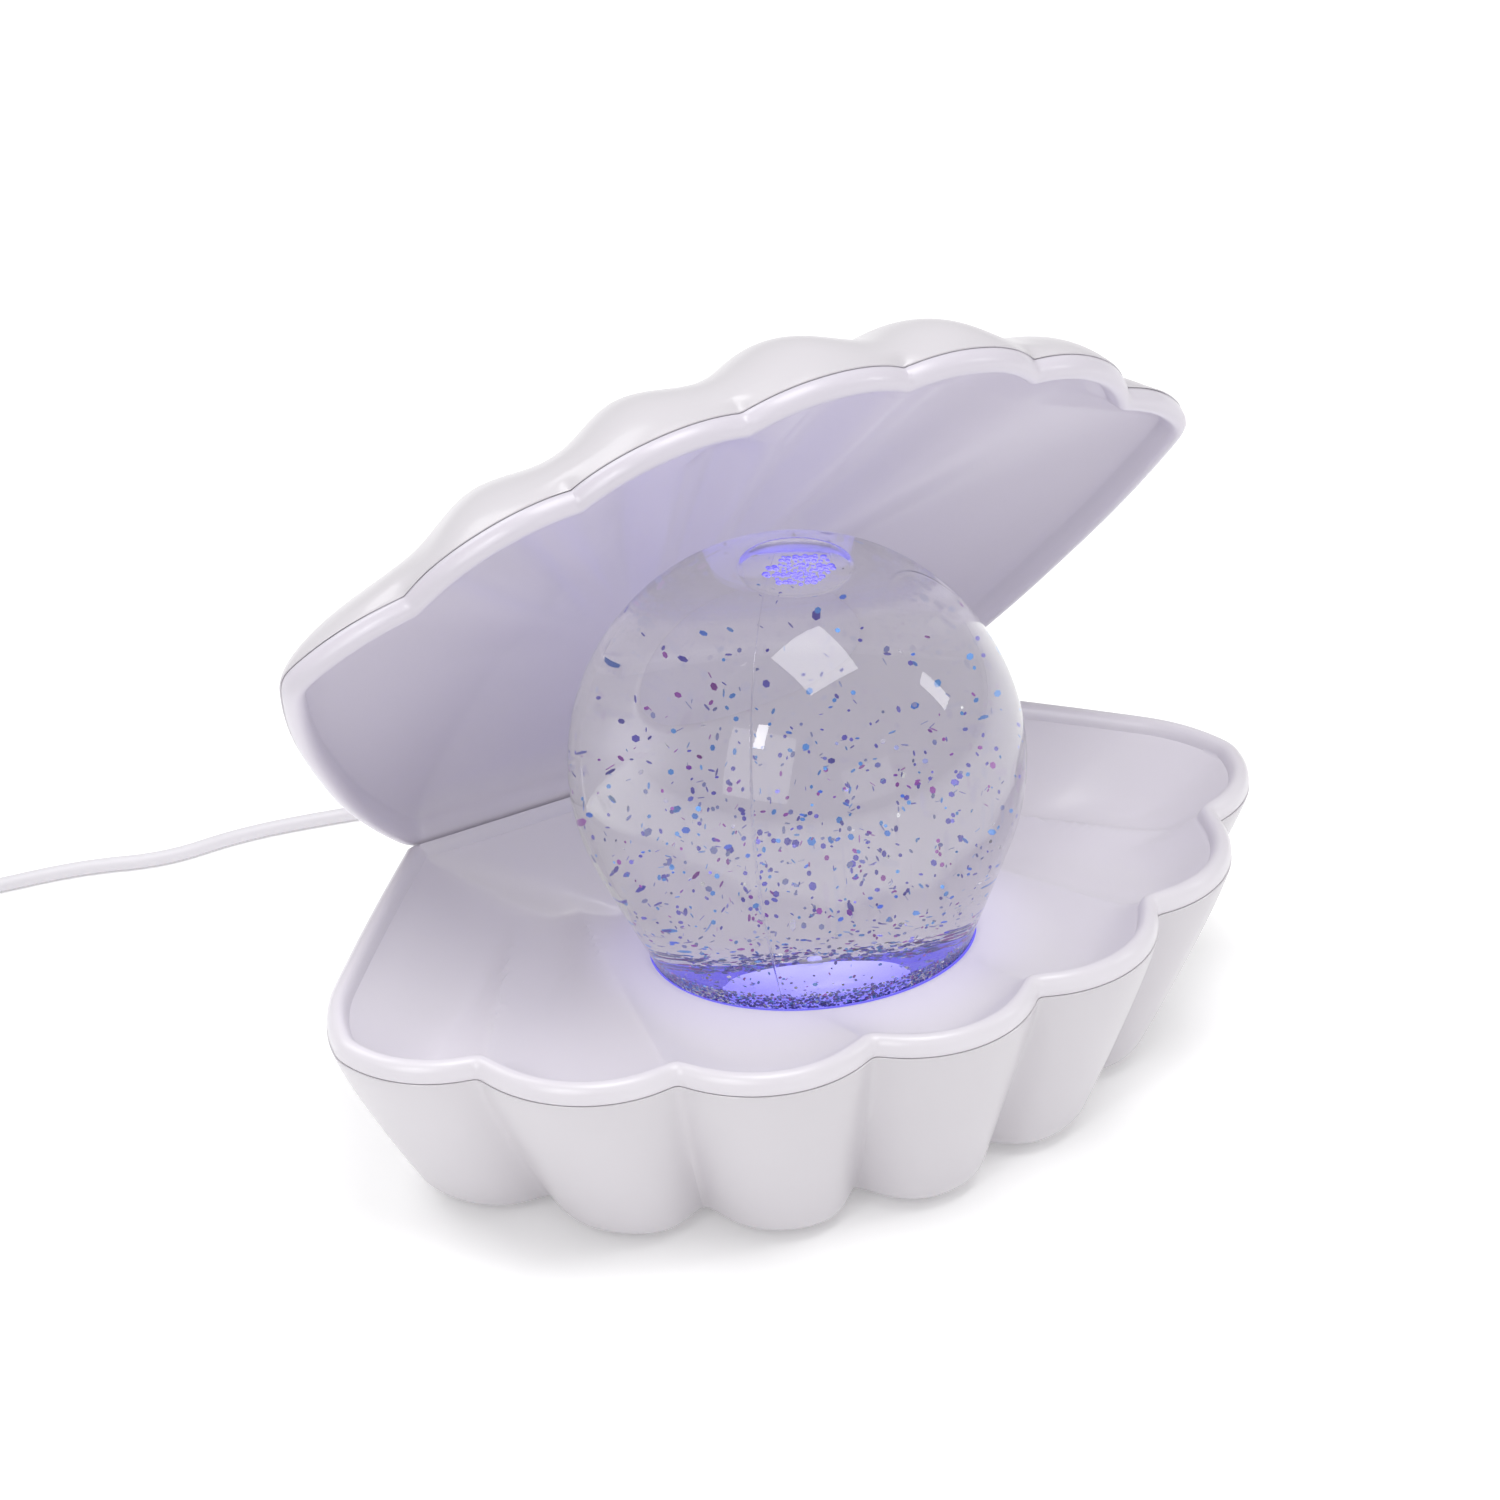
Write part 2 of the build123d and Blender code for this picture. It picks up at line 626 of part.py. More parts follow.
def strain_relief():
    """Boot pushed through the rear wall: inner flange, neck in the hole, outer flange and a taper."""
    bore = CORD_R + 0.05
    back = -WALL - 0.1
    points = [(bore, back - 1.7), (4.6, back - 1.7), (4.6, back), (3.35, back), (3.35, 0.1), (4.6, 0.1)]
    points += [(4.6, 1.8), (3.3, 3.0), (2.5, 21.0), (bore, 21.0)]
    edges = [Line(a, b) for a, b in zip(points, points[1:] + points[:1])]
    return Pos(CORD_X, HEEL_Y, CORD_Z) * Rot(-90, 0, 0) * spun(edges)


# ---------------------------------------------------------------- build every node
def main():
    lid_room = lid_keep_out()
    nodes = {
        "base_shell": base_shell(lid_room),
        "base_tray": base_tray(lid_room),
        "lid_shell": lid_shell(),
        "lid_liner": lid_liner(),
        "globe_half_left": globe_half(Keep.BOTTOM),
        "globe_half_right": globe_half(Keep.TOP),
        "globe_liquid": globe_liquid(),
        "globe_plug": globe_plug(),
        "plug_seal": plug_seal(),
        "globe_gasket": globe_gasket(),
        "globe_retainer": globe_retainer(),
        "clamp_screws": clamp_screws(),
        "stirrer": stirrer(),
        "stirrer_magnets": stirrer_magnets(),
        "stirrer_pin": stirrer_pin(),
        "pin_clip": pin_clip(),
        "drive_carrier": drive_carrier(),
        "motor_can": motor_can(),
        "motor_end_cap": motor_end_cap(),
        "motor_field_magnet": motor_field_magnet(),
        "motor_armature": motor_armature(),
        "motor_shaft": motor_shaft(),
        "drive_disc": drive_disc(),
        "drive_magnets": drive_magnets(),
        "motor_screws": motor_screws(),
        "led_board": led_board(),
        "leds": leds(),
        "led_board_screws": led_board_screws(),
        "control_board": control_board(),
        "board_components": board_components(),
        "board_screws": board_screws(),
        "switch_body": switch_body(),
        "switch_knob": switch_knob(),
        "motor_leads": motor_leads(),
        "lid_screws": lid_screws(),
        "base_screws": base_screws(),
        "rubber_feet": rubber_feet(),
        "strain_relief": strain_relief(),
        "usb_cable": usb_cable(),
        "usb_cable_coil": usb_cable_coil(),
        "usb_cable_tail": usb_cable_tail(),
        "usb_plug_grip": usb_plug_grip(),
        "usb_plug_shell": usb_plug_shell(),
        "usb_plug_tongue": usb_plug_tongue(),
    }
    for name, shape in nodes.items():
        save(name, shape)


main()
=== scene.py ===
import json
from math import atan2, cos, hypot, pi, radians, sin, sqrt, tan

import bmesh
import bpy
import numpy as np
from mathutils import Matrix, Vector


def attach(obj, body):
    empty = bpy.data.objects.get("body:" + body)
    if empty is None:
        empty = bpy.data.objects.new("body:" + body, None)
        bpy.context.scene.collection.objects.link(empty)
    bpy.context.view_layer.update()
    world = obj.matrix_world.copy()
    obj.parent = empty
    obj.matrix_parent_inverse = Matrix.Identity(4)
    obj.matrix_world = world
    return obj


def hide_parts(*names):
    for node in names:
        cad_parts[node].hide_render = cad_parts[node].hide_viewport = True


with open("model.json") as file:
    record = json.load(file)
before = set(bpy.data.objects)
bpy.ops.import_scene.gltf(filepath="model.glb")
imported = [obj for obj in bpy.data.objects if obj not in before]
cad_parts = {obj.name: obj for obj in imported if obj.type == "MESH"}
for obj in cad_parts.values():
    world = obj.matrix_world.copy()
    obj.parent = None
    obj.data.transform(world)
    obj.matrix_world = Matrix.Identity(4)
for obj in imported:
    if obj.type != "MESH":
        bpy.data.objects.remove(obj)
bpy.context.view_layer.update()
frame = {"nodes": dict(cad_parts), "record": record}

MM = 0.001

# ---- driving dimensions, mm
# as in the CAD, but for the FOOT and PARTING_GAP values, which shape the visible skins only
RIM_Z = 52.7
BACK_Y = 57.45
LIP = 4.5
WALL = 2.4
FLOOR_Z = 1.5
FOOT_TAPER_X = 0.203
FOOT_TAPER_Y = 0.088
FOOT_NOTCH = 4.6
FOOT_ROUND = 5.0
PARTING_GAP = 0.14
LID_ANGLE = 59.1
LID_DEPTH = 32.0
LID_PIVOT = 110.0
LID_HINGE_Z = RIM_Z - 3.9
GLOBE_R = 50.0
GLOBE_WALL = 2.6
GLOBE_Y = -2.05
GLOBE_Z = RIM_Z + 29.4
TILT = 8.0
CONE = 24.0
NECK_W = -42.4  # height along the globe's tilted axis, from its centre
SEAM_TURN = -41.5
CORD_R = 1.75
HEEL_DEPTH = 15.5
HEEL_Y = BACK_Y + HEEL_DEPTH
HEEL_HALF = 36.0
HEEL_FRONT = BACK_Y - 2.0
HEEL_TOP = 59.0
CORD_X = 8.0
CORD_Z = 9.0
SWITCH_X = -20.0
SWITCH_Z = 16.0
NECK_R = GLOBE_R * cos(radians(CONE)) - (-NECK_W - GLOBE_R * sin(radians(CONE))) * tan(radians(CONE))
HOLE_R = NECK_R + 0.35
HOLE_Y = GLOBE_Y + NECK_W * sin(radians(TILT))
HOLE_Z = GLOBE_Z + NECK_W * cos(radians(TILT))
BOSSES = ((36.0, 98.0), (74.0, 60.0), (44.0, 15.0))
BOSS_PLACES = [(side * x, BACK_Y - f) for x, f in BOSSES for side in (-1, 1)]
FEET = ((58.0, 84.0), (27.0, 13.0))
FOOT_PLACES = [(side * x, BACK_Y - f) for x, f in FEET for side in (-1, 1)]

BASE_EDGE = {
    "corner": (66.0, 0.0), "side": (86.3, 20.7), "hip": (106.0, 42.0), "flank": (113.5, 53.5),
    "nose": (116.5, 64.0), "brow": (110.8, 77.3), "umbo": -10.8, "notch_r": 135.6, "lobe_r": 143.0,
    "notch_deg": (44.4, 26.75, 8.85),
}
LID_EDGE = {
    "corner": (65.4, 0.0), "side": (82.5, 20.8), "hip": (96.5, 44.5), "flank": (107.6, 69.0),
    "nose": (113.8, 91.0), "brow": (108.0, 104.8), "umbo": 17.7, "notch_r": 129.3, "lobe_r": 133.2,
    "notch_deg": (43.8, 26.0, 8.8),
}

# ---- camera
CAMERA_TARGET = (-17.0, -10.55, RIM_Z + 41.3)
CAMERA_BACK = 958.4
CAMERA_TURN = -30.9
CAMERA_RISE = 30.4
CAMERA_ROLL = -0.8
CAMERA_LENS = 107.9


def link(obj):
    """Put a new object into the scene."""
    bpy.context.scene.collection.objects.link(obj)
    return obj


def make_camera():
    """Camera aimed at the target from its distance, direction and roll."""
    turn, rise, roll = radians(CAMERA_TURN), radians(CAMERA_RISE), radians(CAMERA_ROLL)
    back = Vector((sin(turn) * cos(rise), -cos(turn) * cos(rise), sin(rise)))
    right = Vector((cos(turn), sin(turn), 0))
    up = back.cross(right)
    x_axis = right * cos(roll) + up * sin(roll)
    y_axis = up * cos(roll) - right * sin(roll)
    data = bpy.data.cameras.new("camera")
    data.sensor_width = 36.0
    data.lens = CAMERA_LENS
    data.clip_start = 0.05
    data.clip_end = 20.0
    camera = link(bpy.data.objects.new("camera", data))
    place = (Vector(CAMERA_TARGET) + back * CAMERA_BACK) * MM
    camera.matrix_world = Matrix.Translation(place) @ Matrix((x_axis, y_axis, back)).transposed().to_4x4()
    bpy.context.scene.camera = camera


make_camera()

# ---- cable
CORD_ROUTE = [
    (CORD_X, HEEL_Y - 4.0, CORD_Z),
    (CORD_X, HEEL_Y + 26.0, CORD_Z - 0.6),
    (5.0, HEEL_Y + 50.0, CORD_R),
    (-11.0, HEEL_Y + 71.0, CORD_R),
    (-37.0, HEEL_Y + 78.5, CORD_R),
    (-63.0, HEEL_Y + 84.0, CORD_R),
    (-84.0, HEEL_Y + 83.0, CORD_R),
    (-103.0, HEEL_Y + 91.0, CORD_R),
    (-128.0, HEEL_Y + 94.5, CORD_R),
    (-153.0, HEEL_Y + 100.0, CORD_R),
]
COIL_OUTER = 26.0


def coil_frame():
    """Centre of the put-away coil and the angle at which the cable joins its outermost turn."""
    last = Vector(CORD_ROUTE[-1]) - Vector(CORD_ROUTE[-2])
    side = last.normalized().cross(Vector((0, 0, -1)))
    centre = Vector(CORD_ROUTE[-1]) - side * (COIL_OUTER - CORD_R)
    return centre, atan2(side.y, side.x), last.x * side.y - last.y * side.x


def coil_points():
    """Eight turns in two layers, then one smaller turn across their top and down to the plug."""
    centre, start, handed = coil_frame()
    way = -1.0 if handed > 0 else 1.0
    radii = [COIL_OUTER - CORD_R - k * 2 * CORD_R for k in range(4)]
    layout = [(r, CORD_R) for r in radii] + [(r, 3 * CORD_R) for r in reversed(radii)]
    steps = 14
    points = []
    for turn, (radius, height) in enumerate(layout):
        after = layout[min(turn + 1, len(layout) - 1)]
        for k in range(steps):
            share = k / steps
            ease = max(0.0, (share - 0.72) / 0.28)
            angle = start + way * 2 * pi * (share + 1 / steps)
            r = radius + (after[0] - radius) * ease + 0.12 * sin(3.1 * turn + 5.0 * share)
            z = height + (after[1] - height) * ease
            points.append((centre.x + r * cos(angle), centre.y + r * sin(angle), z))
    top = 5 * CORD_R
    plug_x = -COIL_OUTER + CORD_R
    crossing = [
        (-24.0, 4.0, 5.6), (-20.5, 14.5, 7.0), (-12.0, 20.5, top), (-1.0, 22.0, top), (9.5, 18.5, top),
        (16.5, 10.5, top), (17.5, 0.5, top), (12.5, -8.5, top), (3.5, -13.5, top), (-6.5, -14.5, top),
        (-15.0, -14.8, top), (-21.5, -17.0, 7.0), (plug_x, -21.5, 3.4), (plug_x, -25.0, 2.35),
        (plug_x, -28.0, 2.35),
    ]
    points += [(centre.x + x, centre.y + y, z) for x, y, z in crossing]
    return points


def cable_piece():
    """The whole cable as one smooth spline."""
    points = CORD_ROUTE + coil_points()
    data = bpy.data.curves.new("cable", "CURVE")
    data.dimensions = "3D"
    data.bevel_depth = CORD_R * MM
    data.bevel_resolution = 5
    data.resolution_u = 6
    data.use_fill_caps = True
    spline = data.splines.new("NURBS")
    spline.points.add(len(points) - 1)
    for point, place in zip(spline.points, points):
        point.co = (*(v * MM for v in place), 1.0)
    spline.order_u = 3
    spline.use_endpoint_u = True
    return link(bpy.data.objects.new("cable", data))


# ---- outlines
def arc_points(start, middle, end, count=60):
    """Points along the arc through three points."""
    (ax, ay), (bx, by), (cx, cy) = start, middle, end
    d = 2 * (ax * (by - cy) + bx * (cy - ay) + cx * (ay - by))
    ux = ((ax**2 + ay**2) * (by - cy) + (bx**2 + by**2) * (cy - ay) + (cx**2 + cy**2) * (ay - by)) / d
    uy = ((ax**2 + ay**2) * (cx - bx) + (bx**2 + by**2) * (ax - cx) + (cx**2 + cy**2) * (bx - ax)) / d
    radius = hypot(ax - ux, ay - uy)
    first = atan2(ay - uy, ax - ux)
    via = (atan2(by - uy, bx - ux) - first) % (2 * pi)
    last = (atan2(cy - uy, cx - ux) - first) % (2 * pi)
    sweep = last if via < last else last - 2 * pi
    turns = first + sweep * np.linspace(0, 1, count)
    return np.stack([ux + radius * np.cos(turns), uy + radius * np.sin(turns)], 1)


def polar(edge, r, deg):
    """Point at a distance and an angle from the umbo."""
    return r * sin(radians(deg)), edge["umbo"] + r * cos(radians(deg))


def right_half(arcs):
    """Outline of the right half from the rear corner to the front, as points."""
    return np.concatenate([arc_points(*arc)[:-1] for arc in arcs])


def closed(half, tip):
    """Mirror the right half, close it through the front tip and along the straight rear edge."""
    left = half[::-1] * np.array([-1.0, 1.0])
    corner = half[0]
    rear = np.stack([np.linspace(-corner[0], corner[0], 90)[1:-1], np.full(88, corner[1])], 1)
    return np.concatenate([half, tip, left, rear])


def even(points, count):
    """The closed line again, with evenly spaced points that start at the middle of the rear edge."""
    loop = np.concatenate([points, points[:1]])
    along = np.concatenate([[0.0], np.cumsum(np.hypot(*np.diff(loop, axis=0).T))])
    rear = along[-1] * np.linspace(0, 1, count, endpoint=False)
    line = np.stack([np.interp(rear, along, loop[:, k]) for k in (0, 1)], 1)
    middle = int(np.argmin(np.abs(line[:, 0]) + 100 * (line[:, 1] > 5)))
    return np.roll(line, -middle, 0)


def soften(values, sigma):
    """Gaussian smoothing around a closed line."""
    reach = int(4 * sigma + 1)
    shifts = np.arange(-reach, reach + 1)
    weights = np.exp(-0.5 * (shifts / sigma) ** 2)
    weights /= weights.sum()
    return sum(w * np.roll(values, k, 0) for w, k in zip(weights, shifts))


def inward(line, sigma):
    """Unit directions across a closed line, towards its inside."""
    along = np.roll(line, -1, 0) - np.roll(line, 1, 0)
    across = np.stack([-along[:, 1], along[:, 0]], 1)
    across /= np.linalg.norm(across, axis=1)[:, None]
    across = soften(across, sigma)
    across /= np.linalg.norm(across, axis=1)[:, None]
    middle = line.mean(0)
    if ((middle - line) * across).sum(1).mean() < 0:
        across = -across
    return across


def lobed(edge, count, sigma):
    """The seven-lobed outline."""
    notches = [polar(edge, edge["notch_r"], deg) for deg in edge["notch_deg"]]
    arcs = [(edge["corner"], edge["side"], edge["hip"]), (edge["hip"], edge["flank"], edge["nose"]),
            (edge["nose"], edge["brow"], notches[0])]
    for k in (0, 1):
        middle = (edge["notch_deg"][k] + edge["notch_deg"][k + 1]) / 2
        arcs.append((notches[k], polar(edge, edge["lobe_r"], middle), notches[k + 1]))
    tip = arc_points(notches[2], polar(edge, edge["lobe_r"], 0), (-notches[2][0], notches[2][1]))
    line = even(closed(right_half(arcs), tip), count)
    return soften(line, sigma)


def plain(edge, count):
    """The same outline with its notches filled in."""
    wide = edge["notch_deg"][0]
    brow = polar(edge, edge["lobe_r"] - 0.3, wide)
    arcs = [(edge["corner"], edge["side"], edge["hip"]), (edge["hip"], edge["flank"], edge["nose"])]
    middle = (np.array(edge["nose"]) + np.array(brow)) / 2
    bulge = middle + 1.9 * (middle / np.linalg.norm(middle))
    arcs.append((edge["nose"], tuple(bulge), brow))
    front = np.radians(np.linspace(wide, -wide, 120))
    r = edge["lobe_r"] - 0.3 * np.abs(np.degrees(front)) / wide
    tip = np.stack([r * np.sin(front), edge["umbo"] + r * np.cos(front)], 1)
    line = even(closed(right_half(arcs), tip), count)
    return soften(line, 3.0)


def groove(edge, x, f, sharp):
    """0 along the middle of each lobe, 1 along the grooves that fan out from the umbo."""
    deg = np.degrees(np.arctan2(np.abs(x), f - edge["umbo"]))
    a, b, c = edge["notch_deg"]
    half = np.where(deg < c, c, np.where(deg < b, (b - c) / 2, (a - b) / 2))
    middle = np.where(deg < c, 0.0, np.where(deg < b, (b + c) / 2, (a + b) / 2))
    share = np.where(deg < a, np.abs(deg - middle) / half, np.clip(1 - (deg - a) / 17.0, 0, 1))
    share = np.where(f < edge["umbo"] + 6, 0, share)
    return np.clip(share, 0, 1) ** sharp


# ---- mesh helpers
def ring_mesh(name, rings, loop=False, caps=(False, False)):
    """Closed surface through rings of equal length; each open end may be closed by a fan."""
    count = len(rings[0])
    verts = [tuple(float(v) * MM for v in p) for ring in rings for p in ring]
    faces = []
    last = len(rings) if loop else len(rings) - 1
    for k in range(last):
        a, b = k * count, ((k + 1) % len(rings)) * count
        for i in range(count):
            j = (i + 1) % count
            faces.append((a + i, a + j, b + j, b + i))
    for want, k in zip(caps, (0, len(rings) - 1)):
        if want:
            hub = np.asarray(rings[k]).mean(0)
            verts.append(tuple(float(v) * MM for v in hub))
            for i in range(count):
                faces.append((k * count + i, k * count + (i + 1) % count, len(verts) - 1))
    return mesh_object(name, verts, faces)


def mesh_object(name, verts, faces, flat=40.0):
    """Object with its faces turned outwards, smooth but for edges sharper than an angle."""
    mesh = bpy.data.meshes.new(name)
    mesh.from_pydata(verts, [], faces)
    work = bmesh.new()
    work.from_mesh(mesh)
    bmesh.ops.recalc_face_normals(work, faces=work.faces)
    work.to_mesh(mesh)
    work.free()
    mesh.shade_smooth()
    mesh.set_sharp_from_angle(angle=radians(flat))
    return link(bpy.data.objects.new(name, mesh))


def full_turn(count):
    """Evenly spaced angles of one turn."""
    return [2 * pi * k / count for k in range(count)]


def cylinder_parts(verts, faces, centre, low, high, radius, count=32, inner=None):
    """Add an upright closed cylinder, or a closed tube if it has an inner radius, to the lists, in mm."""
    base = len(verts)
    turns = full_turn(count)
    loops = [(radius, low), (radius, high)]
    if inner:
        loops += [(inner, high), (inner, low)]
    for r, z in loops:
        verts += [((centre[0] + r * cos(t)) * MM, (centre[1] + r * sin(t)) * MM, z * MM) for t in turns]
    for k in range(len(loops) if inner else 1):
        a, b = base + k * count, base + ((k + 1) % len(loops)) * count
        faces += [(a + i, a + (i + 1) % count, b + (i + 1) % count, b + i) for i in range(count)]
    if not inner:
        faces.append(tuple(base + i for i in reversed(range(count))))
        faces.append(tuple(base + count + i for i in range(count)))


def carve(target, cutter):
    """Cut one object out of another and remove the cutter."""
    modifier = target.modifiers.new("cut", "BOOLEAN")
    modifier.object = cutter
    modifier.operation = "DIFFERENCE"
    modifier.solver = "MANIFOLD"
    graph = bpy.context.evaluated_depsgraph_get()
    mesh = bpy.data.meshes.new_from_object(target.evaluated_get(graph))
    target.modifiers.clear()
    target.data = mesh
    mesh.shade_smooth()
    mesh.set_sharp_from_angle(angle=radians(40))
    bpy.data.objects.remove(cutter)


# ---- base
COUNT = 600  # points around an outline
BASE_LINE = lobed(BASE_EDGE, COUNT, 1.0)
BASE_IN = inward(BASE_LINE, 5.0)
BASE_GROOVE = groove(BASE_EDGE, BASE_LINE[:, 0], BASE_LINE[:, 1], 3.4)
PARTING = RIM_Z - LIP
LIP_INSIDE = 4.9


def base_row(line, z):
    """Points of an outline in the row frame, from sideways and forward distances and heights."""
    return np.stack([line[:, 0], BACK_Y - line[:, 1], np.broadcast_to(z, len(line))], 1)


def under_lid(points, gap):
    """Lower whatever would stand in the lid's way along the straight rear edge."""
    slope_y, slope_z = sin(radians(LID_ANGLE)), cos(radians(LID_ANGLE))
    limit = LID_HINGE_Z + (-gap - (points[:, 1] - (BACK_Y - 0.2)) * slope_y) / slope_z
    share = np.clip((68.5 - np.abs(points[:, 0])) / 2.0, 0, 1)
    lowered = np.minimum(points[:, 2], limit)
    points[:, 2] += (lowered - points[:, 2]) * share
    return points


def bowl_ring(z, inset, extra=0.0):
    """The bowl's outline at a height: narrower towards the foot, with deeper notches."""
    drop = max(0.0, (PARTING - z) / (PARTING - FLOOR_Z)) ** 1.14
    line = BASE_LINE * np.array([1 - FOOT_TAPER_X * drop, 1 - FOOT_TAPER_Y * drop])
    line = line + BASE_IN * (inset + extra + FOOT_NOTCH * drop * BASE_GROOVE[:, None])
    return base_row(line, z)


def make_bowl():
    """Outer bowl with its rounded foot, and the screw bosses inside it."""
    top = PARTING - PARTING_GAP / 2
    outer = [bowl_ring(z, 0.0) for z in (46.4, 44, 41, 38, 34.5, 31, 27, 23, 19, 15, 11.5, 9)]
    outer = [bowl_ring(top, 0.16), bowl_ring(top - 0.16, 0.0)] + outer
    edge = FOOT_ROUND
    for k in range(1, 9):
        turn = radians(90 * k / 8)
        outer.append(bowl_ring(FLOOR_Z + edge * (1 - sin(turn)), 0.0, edge * (1 - cos(turn))))
    floor = [bowl_ring(FLOOR_Z, 12.0), bowl_ring(FLOOR_Z, 26.0)]
    inner = [bowl_ring(z, WALL) for z in (top, 46, 42, 37, 31, 25, 18, 11)]
    inner += [bowl_ring(6.5, WALL + 1.5), bowl_ring(4.6, WALL + 4.0), bowl_ring(3.9, WALL + 8.0)]
    inner.append(bowl_ring(3.9, 26.0))
    rings = floor[::-1] + outer[::-1] + inner
    rings = [under_lid(ring, 0.75) if ring[:, 2].max() > 44 else ring for ring in rings]
    bowl = ring_mesh("bowl", rings, caps=(True, True))
    verts, faces = [], []
    for place in BOSS_PLACES:
        cylinder_parts(verts, faces, place, 0.5, 5.0, 3.55)
    for place in FOOT_PLACES:
        cylinder_parts(verts, faces, place, 0.5, 2.4, 6.1, 48)
    carve(bowl, mesh_object("bowl_cutter", verts, faces))
    verts, faces = [], []
    for place in BOSS_PLACES:
        cylinder_parts(verts, faces, place, 1.6, 20.0, 4.2, inner=3.45)
    bosses = mesh_object("bowl_bosses", verts, faces)
    return bowl, bosses


def heel_side():
    """Side outline of the rear pedestal, its front top cut back along the lid's rear wall."""
    points = [(HEEL_FRONT, FLOOR_Z), (HEEL_Y, FLOOR_Z), (HEEL_Y, HEEL_TOP)]
    wall = [lid_place(*lid_level(share, -0.35, (0.0, 0.0)))[1:] for share in np.linspace(0.32, 0.0, 12)]
    wall = [(y, z) for y, z in wall if z < HEEL_TOP - 0.1]
    points.append((wall[0][0], HEEL_TOP))
    points += wall
    points.append((HEEL_FRONT, wall[-1][1] - 4.0))
    return points


def make_heel():
    """Rear pedestal with rounded corners, the cable's hole and the switch's slot."""
    side = heel_side()
    count = len(side)
    verts = [(x * MM, y * MM, z * MM) for x in (-HEEL_HALF, HEEL_HALF) for y, z in side]
    faces = [tuple(range(count)), tuple(range(2 * count - 1, count - 1, -1))]
    faces += [(i, (i + 1) % count, count + (i + 1) % count, count + i) for i in range(count)]
    heel = mesh_object("heel", verts, faces)
    work = bmesh.new()
    work.from_mesh(heel.data)
    rear = [e for e in work.edges if all(abs(v.co.y - HEEL_Y * MM) < 1e-6 for v in e.verts)
            and abs(e.verts[0].co.z - e.verts[1].co.z) > 0.01]
    bmesh.ops.bevel(work, geom=rear, offset=8 * MM, segments=8, affect="EDGES", profile=0.5)
    rim = [e for e in work.edges if len(e.link_faces) == 2 and e.calc_face_angle(0) > radians(35)
           and max(v.co.y for v in e.verts) > (BACK_Y + 6) * MM]
    bmesh.ops.bevel(work, geom=rim, offset=0.8 * MM, segments=3, affect="EDGES", profile=0.5)
    work.to_mesh(heel.data)
    work.free()
    verts, faces = [], []
    cylinder_parts(verts, faces, (CORD_X, 0), -4.0, 4.0, 3.5, 40)
    turned = [(x, HEEL_Y * MM - z, y + CORD_Z * MM) for x, y, z in verts]
    carve(heel, mesh_object("cable_hole", turned, faces))
    low = (SWITCH_X - 4.6, HEEL_Y - 4.0, SWITCH_Z - 1.5)
    high = (SWITCH_X + 4.6, HEEL_Y + 1.0, SWITCH_Z + 1.5)
    carve(heel, box_mesh("switch_slot", low, high))
    return heel


def box_mesh(name, low, high):
    """Box between two corners, in mm."""
    spans = list(zip(low, high))
    corners = [(x * MM, y * MM, z * MM) for x in spans[0] for y in spans[1] for z in spans[2]]
    faces = [(0, 1, 3, 2), (4, 6, 7, 5), (0, 4, 5, 1), (2, 3, 7, 6), (0, 2, 6, 4), (1, 5, 7, 3)]
    return mesh_object(name, corners, faces)


def smooth_max(a, b, soft):
    """The larger of two heights, with a rounded corner where they cross."""
    return 0.5 * (a + b + np.sqrt((a - b) ** 2 + soft**2))


def step(value):
    """Smooth rise from 0 to 1."""
    value = np.clip(value, 0, 1)
    return value * value * (3 - 2 * value)


def neck_plane(y):
    """Height of the tilted plane in which the globe's neck meets the tray."""
    return HOLE_Z - (y - HOLE_Y) * tan(radians(TILT))


def dish_height(x, y, inset):
    """Height of the tray's floor: a tilted plane with scoops between ridges, rising to the lip."""
    side = np.abs(x)
    inner = 20.9 - 0.05 * (y + 66.5)
    middle = 61.6 - 0.30 * (y + 53.4)
    outer = 94.3 - 0.68 * (y + 27.6)
    share = np.where(side < inner, side / inner, 0.0)
    share = np.where((side >= inner) & (side < middle), 2 * (side - inner) / (middle - inner) - 1, share)
    share = np.where((side >= middle) & (side < outer), 2 * (side - middle) / (outer - middle) - 1, share)
    share = np.where(side >= outer, np.minimum((side - outer) / 17.0, 1.0) - 1, share)
    scoop = 1 - np.sqrt(share**2 + 0.006) ** 1.9
    away = np.hypot(x, (y - HOLE_Y)) - HOLE_R
    fade = step(away / 19.0) * step((52.0 - y) / 40.0)
    floor = neck_plane(y) + fade * (1.6 - 5.0 * scoop)
    past_lip = np.maximum(inset - 5.0, 0)
    wall = RIM_Z - 3.0 - 0.92 * past_lip + 0.010 * past_lip**2
    wall = np.where(inset > 45, floor - 10, wall)
    return smooth_max(floor, wall, 2.6) - 0.25


def hole_angles():
    """Where each point of the base outline aims on the neck hole, as an angle from the front."""
    angle = np.arctan2(BASE_LINE[:, 0], BASE_LINE[:, 1] - 65.4)
    bearing = np.unwrap(angle)
    knots_in = np.radians([0, 20, 45, 62, 85, 120, 150, 180])
    knots_out = np.radians([0, 30, 72, 100, 122, 143, 158, 180])
    sign = np.sign(np.where(BASE_LINE[:, 0] == 0, 1e-6, BASE_LINE[:, 0]))
    mapped = np.interp(np.abs((bearing + pi) % (2 * pi) - pi), knots_in, knots_out) * sign
    vector = soften(np.stack([np.sin(mapped), np.cos(mapped)], 1), 6.0)
    return np.arctan2(vector[:, 0], vector[:, 1])


